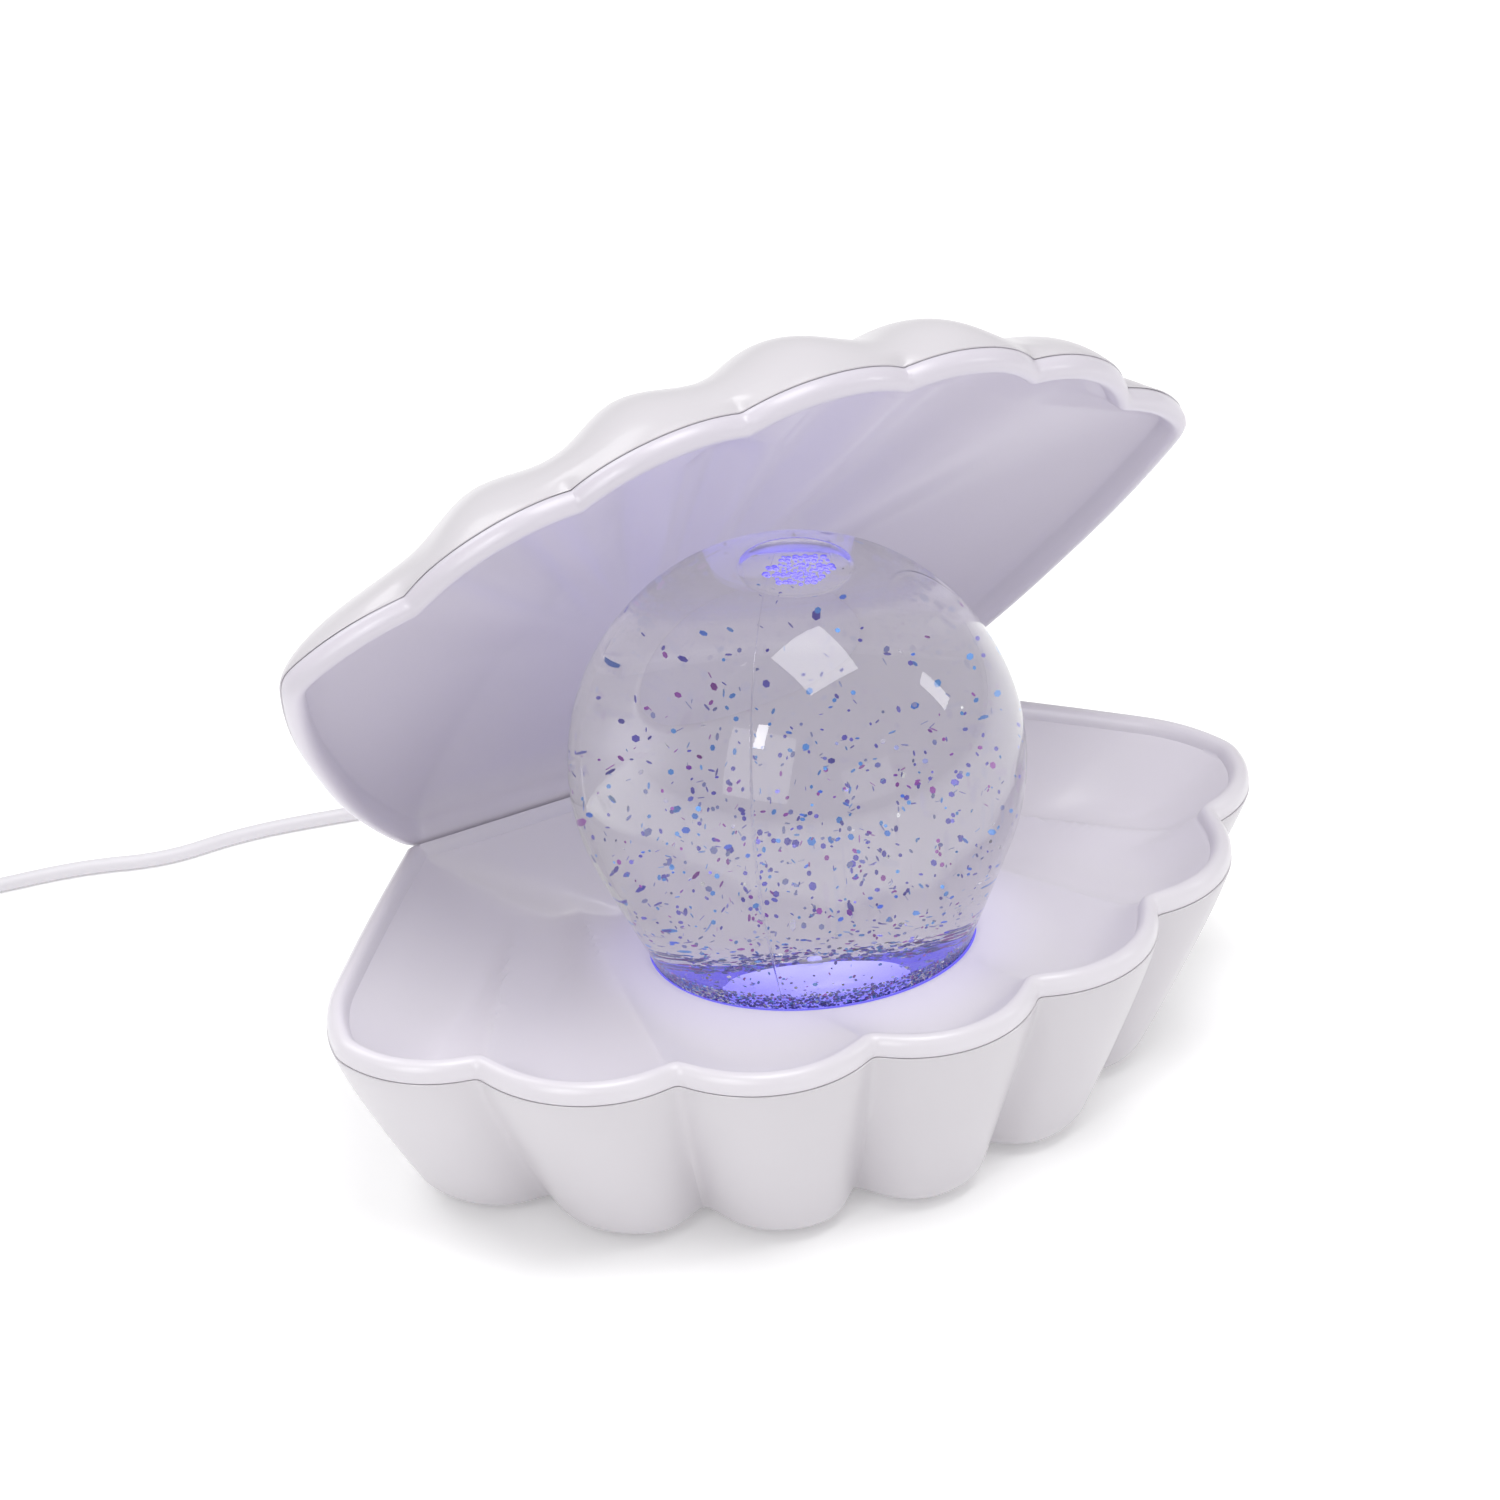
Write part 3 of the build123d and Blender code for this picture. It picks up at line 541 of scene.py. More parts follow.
def make_tray():
    """Bead lip, fillet, scooped floor, neck hole and underside, as one closed skin."""
    profile = [(3.2, PARTING - 1.9), (3.0, PARTING + PARTING_GAP / 2), (0.35, PARTING + PARTING_GAP / 2),
               (0.2, PARTING + 0.25), (0.15, PARTING + 1.3), (0.35, RIM_Z - 1.9), (0.85, RIM_Z - 0.95),
               (1.6, RIM_Z - 0.3), (2.5, RIM_Z), (3.35, RIM_Z - 0.2), (4.05, RIM_Z - 0.85),
               (4.5, RIM_Z - 1.75), (4.75, RIM_Z - 2.5)]
    rings = [base_row(BASE_LINE + BASE_IN * inset, z) for inset, z in profile]
    aim = hole_angles()
    hole = np.stack([HOLE_R * np.sin(aim), HOLE_Y - HOLE_R * np.cos(aim)], 1)
    start = base_row(BASE_LINE + BASE_IN * LIP_INSIDE, 0.0)[:, :2]
    run = hole - start
    length = np.hypot(run[:, 0], run[:, 1])
    facing = BASE_IN * np.array([1.0, -1.0])
    square = np.clip((run / length[:, None] * facing).sum(1), 0.25, 1)
    shares = np.linspace(0.0, 1.0, 44) ** 1.35
    top = []
    for share in shares:
        place = start + run * share
        inset = LIP_INSIDE + length * share * square
        z = dish_height(place[:, 0], place[:, 1], inset)
        top.append(np.column_stack([place, z]))
    top[-1][:, 2] = neck_plane(hole[:, 1]) - 0.35
    top[-2][:, 2] = 0.6 * top[-2][:, 2] + 0.4 * neck_plane(top[-2][:, 1])
    below = []
    for k in (-1, -4, -9, -16, -24, -32, -38):
        ring = top[k].copy()
        ring[:, 2] -= 2.4 if k < -1 else 2.1
        below.append(ring)
    rings += top + below
    rings = [under_lid(ring, 0.5) for ring in rings]
    return ring_mesh("tray", rings, loop=True)


# ---- lid
LID_LINE = plain(LID_EDGE, COUNT)
LID_IN = inward(LID_LINE, 5.0)
LID_UP = np.array([0.0, -cos(radians(LID_ANGLE)), sin(radians(LID_ANGLE))])
LID_BACK = np.array([0.0, sin(radians(LID_ANGLE)), cos(radians(LID_ANGLE))])
LID_AT = np.array([0.0, BACK_Y - 0.2, LID_HINGE_Z])
NOTCH = LID_EDGE["lobe_r"] - LID_EDGE["notch_r"]


def lid_place(x, forward, depth):
    """A point of the lid's own frame in the lamp's frame."""
    return np.array([x, 0.0, 0.0]) + LID_AT + forward * LID_UP + depth * LID_BACK


def lid_scales(share):
    """How far the dome has drawn in sideways and forward at a share of its depth."""
    share = min(share, 0.9999)
    return (1 - share**1.42) ** 0.44, (1 - share**2.05) ** 0.59


def lid_level(share, inset, point):
    """One outline point carried to a level of the dome: sideways, forward, depth."""
    scale_x, scale_f = lid_scales(share)
    rise = LID_DEPTH - inset - LIP
    forward = LID_PIVOT + (point[1] + inset - LID_PIVOT) * scale_f
    return point[0] * scale_x, forward, LIP + share * rise


def lid_rings(inset, shares, depths):
    """Rings of the fluted dome, as points in the lid's own frame: sideways, forward, depth."""
    line = LID_LINE + LID_IN * inset
    rise = LID_DEPTH - inset - LIP
    smooth = []
    for share in shares:
        scale_x, scale_f = lid_scales(share)
        x = line[:, 0] * scale_x
        f = LID_PIVOT + (line[:, 1] - LID_PIVOT) * scale_f
        smooth.append(np.column_stack([x, f, np.full(COUNT, LIP + share * rise)]))
    grid = np.array(smooth)
    around = np.roll(grid, -1, 1) - np.roll(grid, 1, 1)
    along = np.gradient(grid, axis=0)
    normal = np.cross(around, along)
    normal /= np.linalg.norm(normal, axis=2)[:, :, None] + 1e-9
    outward = grid - np.array([0.0, 75.0, 0.0])
    normal *= np.sign((normal * outward).sum(2).mean())
    normal[0, :, :2] = -LID_IN
    normal[0, :, 2] = 0
    rings = []
    for k, share in enumerate(shares):
        x, f = grid[k][:, 0], grid[k][:, 1]
        away = step((np.hypot(x, f - LID_EDGE["umbo"]) - 22.0) / 40.0)
        cusp = groove(LID_EDGE, x, f, 2.2)
        soft = 0.5 - 0.5 * np.cos(pi * groove(LID_EDGE, x, f, 1.0))
        mix = step(share / 0.22)
        cut = depths(share) * (cusp + (soft - cusp) * mix) * away
        rings.append(grid[k] - normal[k] * cut[:, None])
    return rings


def lid_row(ring):
    """A ring of the lid's own frame in the lamp's frame."""
    return LID_AT + ring[:, :1] * np.array([1.0, 0, 0]) + ring[:, 1:2] * LID_UP + ring[:, 2:3] * LID_BACK


RIM_SHARES = [0.0, 0.015, 0.035, 0.06]
TOP_SHARES = [0.94, 0.96, 0.975, 0.985, 0.995]
SHARES = np.concatenate([RIM_SHARES, np.linspace(0.09, 0.92, 46), TOP_SHARES])


def lid_groove_depth(share):
    """Outer grooves: full depth at the rim, shallow round the edge and deeper again on the back."""
    return NOTCH * (1 - 0.42 * step(share / 0.2) + 0.5 * share)


def make_lid_shell():
    """Outer skin of the lid, with the inner side of its wall."""
    outer = lid_rings(0.0, SHARES, lid_groove_depth)
    inner = lid_rings(WALL, SHARES[:-2], lambda share: NOTCH + 1.2 * share)
    edge = outer[0].copy()
    edge[:, :2] += LID_IN * 0.16
    edge[:, 2] += PARTING_GAP / 2
    outer[0][:, 2] += 0.16 + PARTING_GAP / 2
    rings = outer[::-1] + [edge] + inner
    return ring_mesh("lid_cover", [lid_row(ring) for ring in rings], caps=(True, True))


def make_lid_liner():
    """Bead lip and the fluted inner face of the lid."""
    outline = lid_rings(0.0, [0.0, 0.01], lambda share: NOTCH)[0][:, :2]
    profile = [(4.2, LIP + 1.2), (3.0, LIP - 0.07), (0.35, LIP - 0.07), (0.2, LIP - 0.25), (0.15, 3.2),
               (0.3, 1.9), (0.8, 0.9), (1.6, 0.25), (2.5, 0.0), (3.35, 0.2), (4.05, 0.85), (4.5, 1.75),
               (4.85, 2.7)]
    rings = [np.column_stack([outline + LID_IN * inset, np.full(COUNT, depth)]) for inset, depth in profile]
    face = lid_rings(5.3, SHARES[:-1], lambda share: NOTCH - 0.2 * share)
    face[0][:, 2] -= 0.6
    back = lid_rings(3.4, SHARES[3:-1], lambda share: NOTCH + 0.3 * share)
    rings = back[::-1] + rings + face
    return ring_mesh("lid_lining", [lid_row(ring) for ring in rings], caps=(True, True))


# ---- globe
INNER_R = GLOBE_R - GLOBE_WALL
OVERLAP = 0.05
LIQUID_R = INNER_R + OVERLAP
AIR_DEPTH = 1.75
LIQUID_TOP = GLOBE_Z + INNER_R - AIR_DEPTH
LIQUID_FLOOR = -45.97
FLANGE_W = -46.9
NECK_END = -49.0
WALL_SLOPE = 0.445  # sideways run of the cone for each mm of height
FLAKES_ADRIFT = 1150
FLAKES_IN_RING = 4700
FLAKES_ON_WALL = 380
FLAKES_ON_FLOOR = 120
BUBBLES = 96
TILT_TURN = Matrix.Rotation(radians(-TILT), 4, "X")
TILT_FRAME = Matrix.Translation((0, GLOBE_Y * MM, GLOBE_Z * MM)) @ TILT_TURN
TILT_FRAME_MM = Matrix.Translation((0, GLOBE_Y, GLOBE_Z)) @ TILT_TURN


def tilted(point):
    """A point of the globe's tilted frame, in mm, carried to the lamp's frame, in metres."""
    return TILT_FRAME @ (Vector(point) * MM)


def lathe(name, profile, turns, seams=(), matrix=TILT_FRAME, grooved=0):
    """Closed surface spun about an axis: its ends lie on the axis, or its outline is a loop."""
    def spot(radius, turn, w):
        return tuple(matrix @ Vector((radius * cos(turn) * MM, radius * sin(turn) * MM, w * MM)))

    verts, faces = [], []
    on_axis = profile[0][0] < 1e-6
    count = len(turns)
    start = 1 if on_axis else 0
    stop = len(profile) - 1 if profile[-1][0] < 1e-6 else len(profile)
    for k in range(start, stop):
        r, w = profile[k]
        for turn in turns:
            cuts = [depth for seam, depth in seams if abs((turn - seam + pi) % (2 * pi) - pi) < 1e-6]
            radius = r - cuts[0] if cuts and k < grooved else r
            verts.append(spot(radius, turn, w))
    rows = stop - start
    last = (rows - 1) * count
    for k in range(rows - 1):
        for i in range(count):
            j = (i + 1) % count
            faces.append((k * count + i, k * count + j, (k + 1) * count + j, (k + 1) * count + i))
    if on_axis:
        verts.append(spot(0.0, 0.0, profile[0][1]))
        faces += [(i, (i + 1) % count, len(verts) - 1) for i in range(count)]
    if stop < len(profile):
        verts.append(spot(0.0, 0.0, profile[-1][1]))
        faces += [(last + i, last + (i + 1) % count, len(verts) - 1) for i in range(count)]
    elif not on_axis:
        faces += [(last + i, last + (i + 1) % count, (i + 1) % count, i) for i in range(count)]
    return mesh_object(name, verts, faces)


def bulb(radius, low, steps):
    """Half outline of the sphere and its cone, from the top down."""
    last = radians(90 + CONE)
    points = [(radius * sin(last * k / steps), radius * cos(last * k / steps)) for k in range(steps + 1)]
    points[0] = (0.0, radius)
    tangent = points[-1]
    neck = tangent[0] - (tangent[1] - NECK_W) * tan(radians(CONE))
    for k in range(1, 7):
        share = k / 6
        down = tangent[1] + (NECK_W - tangent[1]) * share
        points.append((tangent[0] + (neck - tangent[0]) * share, down))
    points.append((neck, low))
    return points


# angle and depth of the fine grooves where the two halves of the globe meet
SEAMS = ((radians(SEAM_TURN - 90), 0.12), (radians(SEAM_TURN + 90), 0.03))


def seam_turns(count):
    """Angles of one turn, with close ones on both sides of each seam."""
    turns = {round(turn, 7) for turn in full_turn(count)}
    for seam, _ in SEAMS:
        turns = {t for t in turns if abs((t - seam + pi) % (2 * pi) - pi) > radians(0.75)}
        for shift in (-0.5, -0.22, 0.0, 0.22, 0.5):
            turns.add((seam + radians(shift)) % (2 * pi))
    return sorted(turns)


def make_globe():
    """Clear shell with its cone, neck and flange."""
    outer = bulb(GLOBE_R, FLANGE_W, 64)
    inner = bulb(INNER_R, NECK_END, 64)
    flange = [(39.0, FLANGE_W), (39.4, -47.3), (39.4, -48.6), (39.0, NECK_END)]
    shell = outer + flange + inner[::-1]
    return lathe("globe_shell", shell, seam_turns(200), SEAMS, grooved=len(outer) - 1)


def make_liquid():
    """Fills the shell up to a level surface that leaves a shallow air bubble at the top."""
    side = bulb(LIQUID_R, LIQUID_FLOOR, 72)
    fine = np.radians(np.arange(0.5, 24, 0.6))
    rows = side[:1] + [(LIQUID_R * sin(a), LIQUID_R * cos(a)) for a in fine]
    rows += [p for k, p in enumerate(side) if k > 0 and p[1] < LIQUID_R * cos(radians(24.2))]
    liquid = lathe("liquid", rows + [(0.0, LIQUID_FLOOR)], full_turn(160))
    for vert in liquid.data.vertices:
        over = vert.co.z / MM - LIQUID_TOP
        if over > 0:
            reach = hypot(vert.co.x / MM, vert.co.y / MM - GLOBE_Y)
            rise = 0.5 * step((reach - 11.2) / 1.4)
            vert.co.z = (LIQUID_TOP + min(over, float(rise))) * MM
    return liquid


def hex_flake(verts, faces, kinds, centre, radius, thick, turn, kind):
    """Add one thin six-sided flake to the lists."""
    base = len(verts)
    for high in (-0.5, 0.5):
        for k in range(6):
            angle = k * pi / 3
            local = Vector((radius * cos(angle), radius * sin(angle), high * thick))
            verts.append(tuple((Vector(centre) + turn @ local) * MM))
    faces.append(tuple(base + k for k in reversed(range(6))))
    faces.append(tuple(base + 6 + k for k in range(6)))
    faces.extend((base + k, base + (k + 1) % 6, base + 6 + (k + 1) % 6, base + 6 + k) for k in range(6))
    kinds.extend([kind] * 8)


def random_turn(rng, flat=1.0):
    """Any direction, or one that leans away from upright if flat is under 1."""
    tip = Vector((rng.normal() * flat, rng.normal() * flat, 1.0 if flat < 1 else rng.normal()))
    return tip.to_track_quat("Z", "Y").to_matrix() @ Matrix.Rotation(rng.uniform(0, pi), 3, "Z")


def flake_object(name, verts, faces, kinds, finishes):
    """All flakes as one object, each with the foil of its kind."""
    mesh = bpy.data.meshes.new(name)
    mesh.from_pydata(verts, [], faces)
    for finish in finishes:
        mesh.materials.append(finish)
    mesh.polygons.foreach_set("material_index", kinds)
    mesh.update()
    return link(bpy.data.objects.new(name, mesh))


def make_glitter(finishes):
    """Flakes adrift in the liquid, thicker towards the bottom."""
    rng = np.random.default_rng(7)
    verts, faces, kinds = [], [], []
    made = 0
    while made < FLAKES_ADRIFT:
        direction = rng.normal(size=3)
        direction /= np.linalg.norm(direction)
        place = direction * 45.8 * rng.uniform() ** (1 / 2.6)
        height = (place[2] + 40) / 80
        if rng.uniform() > np.clip(1.25 - 1.75 * height, 0.012, 1) or place[2] < -39:
            continue
        reach = hypot(place[0], place[1])
        if place[2] < -19 and reach > 42.0 - WALL_SLOPE * (-19 - place[2]):
            continue
        if reach < 16.0 and place[2] < -33:
            continue
        kind = int(rng.choice(5, p=[0.36, 0.26, 0.2, 0.15, 0.03]))
        radius = rng.uniform(0.27, 0.56)
        hex_flake(verts, faces, kinds, TILT_FRAME_MM @ Vector(place), radius, 0.07, random_turn(rng), kind)
        made += 1
    return flake_object("glitter_adrift", verts, faces, kinds, finishes)


def make_settled(finishes):
    """Flakes lying in a dense ring around the foot of the liquid, and a few on its floor."""
    rng = np.random.default_rng(19)
    verts, faces, kinds = [], [], []
    for k in range(FLAKES_IN_RING + FLAKES_ON_WALL + FLAKES_ON_FLOOR):
        around = rng.uniform(0, 2 * pi)
        if k < FLAKES_IN_RING:
            height = -43.6 + 4.6 * rng.uniform() ** 1.25
            reach = 32.75 + WALL_SLOPE * max(0.0, height - NECK_W) - 0.45 - 2.4 * rng.uniform() ** 2.0
        elif k < FLAKES_IN_RING + FLAKES_ON_WALL:
            height = -40.4 + 7.0 * rng.uniform() ** 1.4
            reach = 32.9 + WALL_SLOPE * (height - NECK_W) - 0.5 - 2.0 * rng.uniform()
        else:
            height = -45.4
            reach = 15.5 + 13.0 * rng.uniform()
        place = TILT_FRAME_MM @ Vector((reach * cos(around), reach * sin(around), height))
        kind = int(rng.choice(5, p=[0.44, 0.18, 0.10, 0.12, 0.16]))
        hex_flake(verts, faces, kinds, place, rng.uniform(0.24, 0.46), 0.06, random_turn(rng, 0.9), kind)
    return flake_object("glitter_settled", verts, faces, kinds, finishes)


def make_bubbles():
    """Froth that hangs under the level surface at the top of the globe."""
    rng = np.random.default_rng(5)
    verts, faces = [], []
    placed = []
    work = bmesh.new()
    bmesh.ops.create_icosphere(work, subdivisions=2, radius=1.0)
    ball = [v.co.copy() for v in work.verts]
    sides = [tuple(v.index for v in f.verts) for f in work.faces]
    work.free()
    tries = 0
    while len(placed) < BUBBLES and tries < 9000:
        tries += 1
        turn = rng.uniform(0, 2 * pi)
        reach = 7.4 * sqrt(rng.uniform())
        radius = rng.uniform(0.3, 0.6) if reach < 4.4 else rng.uniform(0.4, 0.95)
        x, y = 1.2 + reach * cos(turn), GLOBE_Y + 0.4 + 0.85 * reach * sin(turn)
        z = LIQUID_TOP - radius - 0.12 - 1.1 * rng.uniform() ** 2
        if any(hypot(x - a, y - b) < 0.93 * (radius + r) for a, b, r in placed):
            continue
        placed.append((x, y, radius))
        base = len(verts)
        verts += [((x + radius * v.x) * MM, (y + radius * v.y) * MM, (z + radius * v.z) * MM) for v in ball]
        faces += [tuple(base + i for i in side) for side in sides]
    return mesh_object("froth", verts, faces, 180)


def make_collar():
    """Thin light guide lining the tray's hole, around the neck of the globe."""
    outer, inner = HOLE_R - 0.06, HOLE_R - 0.28
    profile = [(outer, -46.6), (outer, -42.65), (HOLE_R - 0.12, -42.5), (HOLE_R - 0.24, -42.5),
               (inner, -42.65), (inner, -46.6)]
    return lathe("neck_light", profile, full_turn(160))


def make_stirrer():
    """Dome with a flat rim and a small centre post."""
    profile = [(0.0, -34.6), (0.7, -34.65), (1.0, -34.9), (1.1, -35.3), (1.1, -36.6), (1.35, -36.95)]
    profile += [(13.4 * sin(turn), -43.0 + 6.1 * cos(turn)) for turn in np.linspace(0.14, 1.45, 16)]
    profile += [(13.7, -43.1), (13.95, -43.25), (14.0, -43.6), (14.0, -44.9), (13.7, -45.3), (0.0, -45.3)]
    return lathe("stirrer_dome", profile, full_turn(72))


def cord_line(cord):
    """Points along the middle of the cable, read from its spline."""
    bare = cord.data.copy()
    bare.bevel_depth = 0.0
    carrier = bpy.data.objects.new("cord_line", bare)
    mesh = bpy.data.meshes.new_from_object(carrier)
    line = np.array([tuple(v.co) for v in mesh.vertices]) / MM
    bpy.data.objects.remove(carrier)
    return line


def make_boot(cord):
    """Strain relief: flanged collar with a ribbed taper that bends with the cable."""
    bore = CORD_R + 0.02
    points = [(bore, -4.2), (4.4, -4.2), (4.6, -4.0), (4.6, -2.55), (3.3, -2.5), (3.3, 0.1), (4.4, 0.1),
              (4.6, 0.3), (4.6, 1.5), (4.35, 1.8), (3.4, 2.1)]
    for k in range(6):
        at = 3.0 + 2.7 * k
        radius = 3.3 - 0.115 * k
        points += [(radius, at), (radius, at + 1.5), (radius - 0.5, at + 1.7), (radius - 0.52, at + 2.4)]
    points += [(2.55, 19.4), (2.5, 20.7), (2.2, 21.0), (bore, 21.0)]
    way_out = Matrix.Rotation(radians(-90), 4, "X")
    exit_frame = Matrix.Translation((CORD_X * MM, HEEL_Y * MM, CORD_Z * MM)) @ way_out
    boot = lathe("cable_boot", points, full_turn(48), matrix=exit_frame)
    line = cord_line(cord)
    line = line[:int(np.argmax(line[:, 1] > HEEL_Y + 40.0))]
    for vert in boot.data.vertices:
        vert.co.x += float(np.interp(vert.co.y / MM, line[:, 1], line[:, 0]) - CORD_X) * MM
        vert.co.z += float(np.interp(vert.co.y / MM, line[:, 1], line[:, 2]) - CORD_Z) * MM
    return boot


# ---- materials
def nodes_of(name):
    """New material, its node tree and its shader."""
    material = bpy.data.materials.new(name)
    material.use_nodes = True
    tree = material.node_tree
    return material, tree, tree.nodes["Principled BSDF"]


def put(node, **values):
    """Set a node's sockets; an underscore stands for a space in a socket's name."""
    for socket, value in values.items():
        node.inputs[socket.replace("_", " ")].default_value = value


def noise(tree, scale, detail):
    """Noise fixed to the object."""
    place = tree.nodes.new("ShaderNodeTexCoord")
    cloud = tree.nodes.new("ShaderNodeTexNoise")
    put(cloud, Scale=scale, Detail=detail)
    tree.links.new(place.outputs["Object"], cloud.inputs["Vector"])
    return cloud.outputs["Fac"]


def ramp(tree, source, stops):
    """Colours at places from 0 to 1."""
    node = tree.nodes.new("ShaderNodeValToRGB")
    node.color_ramp.elements[0].position = stops[0][0]
    node.color_ramp.elements[0].color = (*stops[0][1], 1)
    node.color_ramp.elements[1].position = stops[-1][0]
    node.color_ramp.elements[1].color = (*stops[-1][1], 1)
    for place, colour in stops[1:-1]:
        node.color_ramp.elements.new(place).color = (*colour, 1)
    tree.links.new(source, node.inputs["Fac"])
    return node.outputs["Color"]


def spread(tree, source, start, end, low, high, way="LINEAR"):
    """A value between start and end carried to one between low and high."""
    node = tree.nodes.new("ShaderNodeMapRange")
    node.interpolation_type = way
    put(node, From_Min=start, From_Max=end, To_Min=low, To_Max=high)
    tree.links.new(source, node.inputs["Value"])
    return node.outputs["Result"]


def bump(tree, shader, source, strength, distance):
    """Fine relief of the surface."""
    node = tree.nodes.new("ShaderNodeBump")
    put(node, Strength=strength, Distance=distance)
    tree.links.new(source, node.inputs["Height"])
    tree.links.new(node.outputs["Normal"], shader.inputs["Normal"])


def finish(name, colour, roughness, vary=0.04, grain=900.0, relief=0.03, metallic=0.0, coat=0.0):
    """Base finish of the opaque parts: soft colour drift, patchy gloss and a fine surface grain."""
    material, tree, shader = nodes_of(name)
    drift = noise(tree, 14.0, 3.0)
    dark = tuple(v * (1 - vary) for v in colour)
    light = tuple(min(1.0, v * (1 + vary)) for v in colour)
    tint = ramp(tree, drift, [(0.35, dark), (0.65, light)])
    tree.links.new(tint, shader.inputs["Base Color"])
    patch = noise(tree, 30.0, 2.0)
    gloss = spread(tree, patch, 0.3, 0.7, roughness * 0.97, roughness * 1.04)
    tree.links.new(gloss, shader.inputs["Roughness"])
    fine = noise(tree, grain, 2.0)
    bump(tree, shader, fine, relief, 0.0002)
    put(shader, Metallic=metallic, Coat_Weight=coat, Coat_Roughness=0.14, IOR=1.5)
    return material


def distance_from(tree, centre):
    """Distance of each point of the object from a fixed point."""
    place = tree.nodes.new("ShaderNodeTexCoord")
    apart = tree.nodes.new("ShaderNodeVectorMath")
    apart.operation = "DISTANCE"
    apart.inputs[1].default_value = centre
    tree.links.new(place.outputs["Object"], apart.inputs[0])
    return apart.outputs["Value"]


def add_spill(material, centre, near, far, colour, strength):
    """Coloured light spill that fades with distance from a point."""
    tree = material.node_tree
    shader = tree.nodes["Principled BSDF"]
    fall = spread(tree, distance_from(tree, centre), near * MM, far * MM, strength, 0.0, "SMOOTHERSTEP")
    tree.links.new(fall, shader.inputs["Emission Strength"])
    put(shader, Emission_Color=(*colour, 1))
    return material


def glow(name, centre, stops, strength):
    """Translucent white plastic lit from behind: its light changes with the distance from a point."""
    material, tree, shader = nodes_of(name)
    scale = tree.nodes.new("ShaderNodeMath")
    scale.operation = "MULTIPLY"
    scale.inputs[1].default_value = 1.0 / GLOW_REACH
    tree.links.new(distance_from(tree, centre), scale.inputs[0])
    tint = ramp(tree, scale.outputs["Value"], stops)
    tree.links.new(tint, shader.inputs["Emission Color"])
    put(shader, Emission_Strength=strength)
    cloud = noise(tree, 150.0, 3.0)
    tone = ramp(tree, cloud, [(0.3, (0.14, 0.14, 0.27)), (0.7, (0.18, 0.18, 0.33))])
    tree.links.new(tone, shader.inputs["Base Color"])
    rough = spread(tree, cloud, 0.3, 0.7, 0.35, 0.5)
    tree.links.new(rough, shader.inputs["Roughness"])
    bump(tree, shader, cloud, 0.03, 0.0002)
    return material


def clear(name, ior, colour, drift, relief):
    """Clear plastic or liquid: slight tint drift and a slow ripple in the surface."""
    material, tree, shader = nodes_of(name)
    cloud = noise(tree, 18.0, 2.0)
    tinted = tuple(v * drift for v in colour)
    tint = ramp(tree, cloud, [(0.3, tinted), (0.7, colour)])
    tree.links.new(tint, shader.inputs["Base Color"])
    rough = spread(tree, cloud, 0.3, 0.7, 0.0, 0.015)
    tree.links.new(rough, shader.inputs["Roughness"])
    bump(tree, shader, cloud, relief, 0.0004)
    put(shader, Transmission_Weight=1.0, IOR=ior)
    return material


def foil(name, colour, metallic=0.5, roughness=0.3):
    """Finish of one kind of glitter flake."""
    return finish(name, colour, roughness, 0.25, 2500.0, 0.2, metallic)


NECK_CENTRE = (0.0, HOLE_Y * MM, HOLE_Z * MM)
PLUG_CENTRE = tuple(tilted((0, 0, -46.0)))
DOME_CENTRE = tuple(tilted((0, 0, -39.0)))
LINING_CENTRE = (0.0, 0.02, 0.125)
SATIN = {"roughness": 0.32, "vary": 0.012, "grain": 700.0, "relief": 0.015, "coat": 0.2}
BLUE = (0.08, 0.05, 0.88)
GLOW_REACH = 0.04  # distance in metres over which the colours of a lit part run
# colour, roughness, how much the colour varies, grain, relief and metallic share
OPAQUE = {
    "rubber": ((0.55, 0.54, 0.56), 0.72, 0.06, 1800.0, 0.12),
    "screw_steel": ((0.62, 0.61, 0.60), 0.30, 0.08, 2600.0, 0.10, 1.0),
    "magnet": ((0.72, 0.72, 0.74), 0.16, 0.05, 2200.0, 0.05, 1.0),
    "motor_steel": ((0.55, 0.56, 0.58), 0.34, 0.06, 2000.0, 0.10, 1.0),
    "motor_cap": ((0.035, 0.035, 0.04), 0.45, 0.15, 1500.0, 0.08),
    "circuit_board": ((0.66, 0.70, 0.66), 0.42, 0.05, 1400.0, 0.10),
    "component_black": ((0.03, 0.03, 0.034), 0.5, 0.15, 1500.0, 0.08),
    "switch_white": ((0.70, 0.69, 0.71), 0.38, 0.03, 1200.0, 0.05),
    "lead": ((0.45, 0.03, 0.03), 0.42, 0.1, 1600.0, 0.06),
    "cable_white": ((0.70, 0.68, 0.72), 0.42, 0.03, 1800.0, 0.06),
    "plug_metal": ((0.74, 0.74, 0.76), 0.20, 0.05, 2600.0, 0.06, 1.0),
    "plug_tongue": ((0.78, 0.78, 0.80), 0.45, 0.03, 1400.0, 0.05),
}


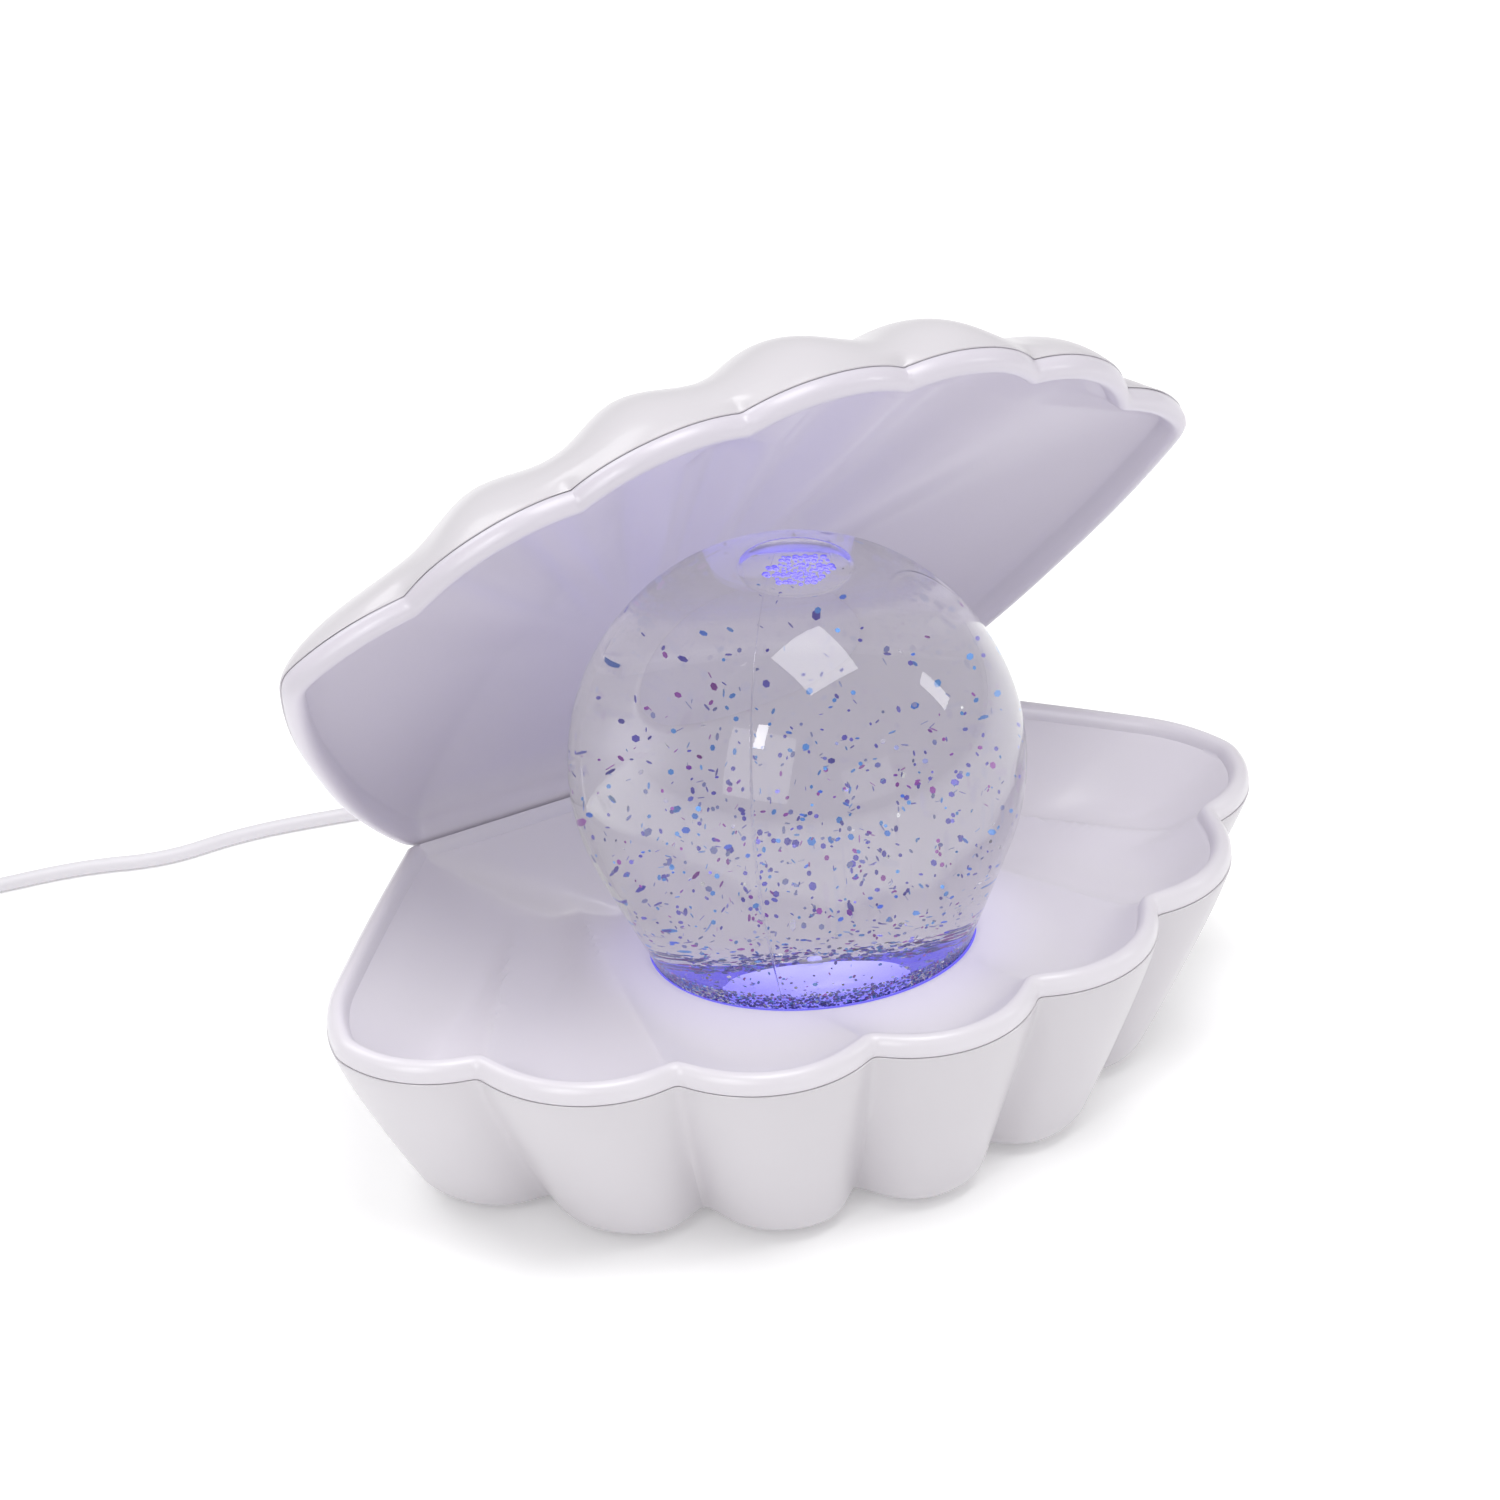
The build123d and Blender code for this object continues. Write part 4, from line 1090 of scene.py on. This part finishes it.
def make_finishes():
    """Every finish by name; a CAD node wears the one that its record slot names."""
    # Shell, tray and lining are one white plastic: the tray and the lining get lighter colours than the
    # shell, painted light on the dish and on the inside of the lid.
    shell = finish("shell_white", (0.635, 0.61, 0.645), **SATIN)
    tray = finish("tray_white", (0.735, 0.705, 0.755), **SATIN)
    add_spill(tray, NECK_CENTRE, 35.5, 56.0, (0.34, 0.26, 1.0), 0.11)
    lining = finish("lining_white", (0.665, 0.63, 0.70), **SATIN)
    add_spill(lining, LINING_CENTRE, 14.0, 80.0, (0.34, 0.28, 1.0), 0.045)
    froth = clear("froth", 0.77, (0.80, 0.80, 1.0), 0.95, 0.0)
    froth_shader = froth.node_tree.nodes["Principled BSDF"]
    # painted glow: the bubbles get a blue emission that stands in for the LED light they catch, though they
    # are no lamp
    put(froth_shader, Emission_Color=(0.06, 0.03, 1.0, 1), Emission_Strength=0.6)
    neck_stops = [(0.0, BLUE), (0.87, (0.05, 0.03, 0.5)), (0.93, BLUE), (1.0, BLUE)]
    collar = glow("neck_light", PLUG_CENTRE, neck_stops, 0.9)
    plug_stops = [(0.0, (0.20, 0.17, 1.0)), (0.40, (0.12, 0.09, 0.95)), (0.62, BLUE),
                  (0.85, (0.05, 0.03, 0.55))]
    dome_stops = [(0.0, (0.48, 0.46, 1.0)), (0.20, (0.42, 0.39, 1.0)), (0.34, (0.26, 0.22, 1.0)),
                  (0.6, BLUE)]
    looks = {
        "shell_white": shell,
        "tray_white": tray,
        "lining": lining,
        "clear_globe": clear("clear_globe", 1.46, (1.0, 1.0, 1.0), 0.997, 0.012),
        "liquid": clear("liquid", 1.36, (0.99, 0.985, 1.0), 0.995, 0.0),
        "white_inner": glow("white_inner", PLUG_CENTRE, plug_stops, 0.9),
        "led": glow("led", PLUG_CENTRE, [(0.0, (0.2, 0.15, 1.0)), (1.0, (0.2, 0.15, 1.0))], 0.8),
        "stirrer": glow("stirrer", DOME_CENTRE, dome_stops, 0.85),
        "froth": froth,
        "collar": collar,
    }
    looks.update({name: finish(name, *values) for name, values in OPAQUE.items()})
    return looks


FINISHES = make_finishes()
FOILS = [
    foil("foil_indigo", (0.13, 0.11, 0.50)), foil("foil_blue", (0.10, 0.30, 0.72)),
    foil("foil_slate", (0.24, 0.26, 0.50)), foil("foil_purple", (0.36, 0.08, 0.45)),
    foil("foil_white", (0.9, 0.9, 0.95), 0.9, 0.15),
]


def wear(obj, finish_name):
    """Give an object one finish and nothing else."""
    obj.data.materials.clear()
    obj.data.materials.append(FINISHES[finish_name])
    return obj


for entry in frame["record"]["subparts"]:
    wear(frame["nodes"][entry["node"]], entry["material_slot"])


def place(obj, look, record_slot, *replaced):
    """Finish a piece of the base, attach it to the base and hide the CAD nodes that it stands for."""
    wear(obj, look)
    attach(obj, "base")
    if replaced:
        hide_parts(*replaced)
    return obj


# ---- put the pieces together
cable = place(cable_piece(), "cable_white", "cable_white", "usb_cable", "usb_cable_coil", "usb_cable_tail")
boot = place(make_boot(cable), "cable_white", "cable_white", "strain_relief")

for piece in (*make_bowl(), make_heel()):
    place(piece, "shell_white", "shell_white", "base_shell")
place(make_tray(), "tray_white", "tray_white", "base_tray")
place(make_lid_shell(), "shell_white", "shell_white", "lid_shell")
place(make_lid_liner(), "lining", "tray_white", "lid_liner")
globe = place(make_globe(), "clear_globe", "clear_globe", "globe_half_left", "globe_half_right")
liquid = place(make_liquid(), "liquid", "liquid", "globe_liquid")
for see_through in (globe, liquid):
    see_through.visible_shadow = False
    see_through.visible_diffuse = False
place(make_bubbles(), "froth", "liquid")
place(make_collar(), "collar", "white_inner")
stirrer = wear(make_stirrer(), "stirrer")
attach(stirrer, "stirrer")
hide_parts("stirrer")
for flakes in (make_glitter(FOILS), make_settled(FOILS)):
    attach(flakes, "base")


# ---- floor and light
def panel(name, place_m, aim, size, energy, card=False):
    """Soft light; a card only shows as a reflection."""
    light = bpy.data.lights.new(name, "AREA")
    light.shape = "RECTANGLE"
    light.size, light.size_y = size
    light.energy = energy
    lamp = link(bpy.data.objects.new(name, light))
    lamp.visible_transmission = False
    lamp.visible_diffuse = not card
    facing = (Vector(place_m) - Vector(aim)).to_track_quat("Z", "Y")
    lamp.matrix_world = Matrix.Translation(place_m) @ facing.to_matrix().to_4x4()


def make_stage():
    """White floor, even sky and the lights."""
    mesh = bpy.data.meshes.new("floor")
    half = 6.0
    corners = [(-half, -half, 0), (half, -half, 0), (half, half, 0), (-half, half, 0)]
    mesh.from_pydata(corners, [], [(0, 1, 2, 3)])
    floor = link(bpy.data.objects.new("floor", mesh))
    pale = finish("floor", (0.95, 0.95, 0.95), 0.7, 0.0, 300.0, 0.0)
    put(pale.node_tree.nodes["Principled BSDF"], Emission_Color=(1, 1, 1, 1), Emission_Strength=0.17)
    floor.data.materials.append(pale)
    world = bpy.data.worlds.new("world")
    bpy.context.scene.world = world
    world.use_nodes = True
    put(world.node_tree.nodes["Background"], Color=(1, 1, 1, 1), Strength=0.5)
    lamp_middle = (0, 0, 0.08)
    panel("top", (0.1, -0.5, 2.45), lamp_middle, (1.2, 1.2), 27.0)
    panel("rear", (-0.5, 0.6, 1.2), lamp_middle, (0.8, 0.8), 6.0)
    panel("card", (-1.1, -0.85, 0.75), lamp_middle, (0.9, 0.9), 6.0, card=True)
    panel("key", (-0.75, -0.55, 0.85), lamp_middle, (0.10, 0.24), 1.0)
    panel("fill", (0.9, -0.45, 0.6), lamp_middle, (0.14, 0.30), 0.8)
    panel("front", (0.1, -1.3, 0.42), (0, 0, 0.12), (0.6, 0.4), 0.7)


make_stage()
bpy.context.scene.view_settings.view_transform = "Standard"
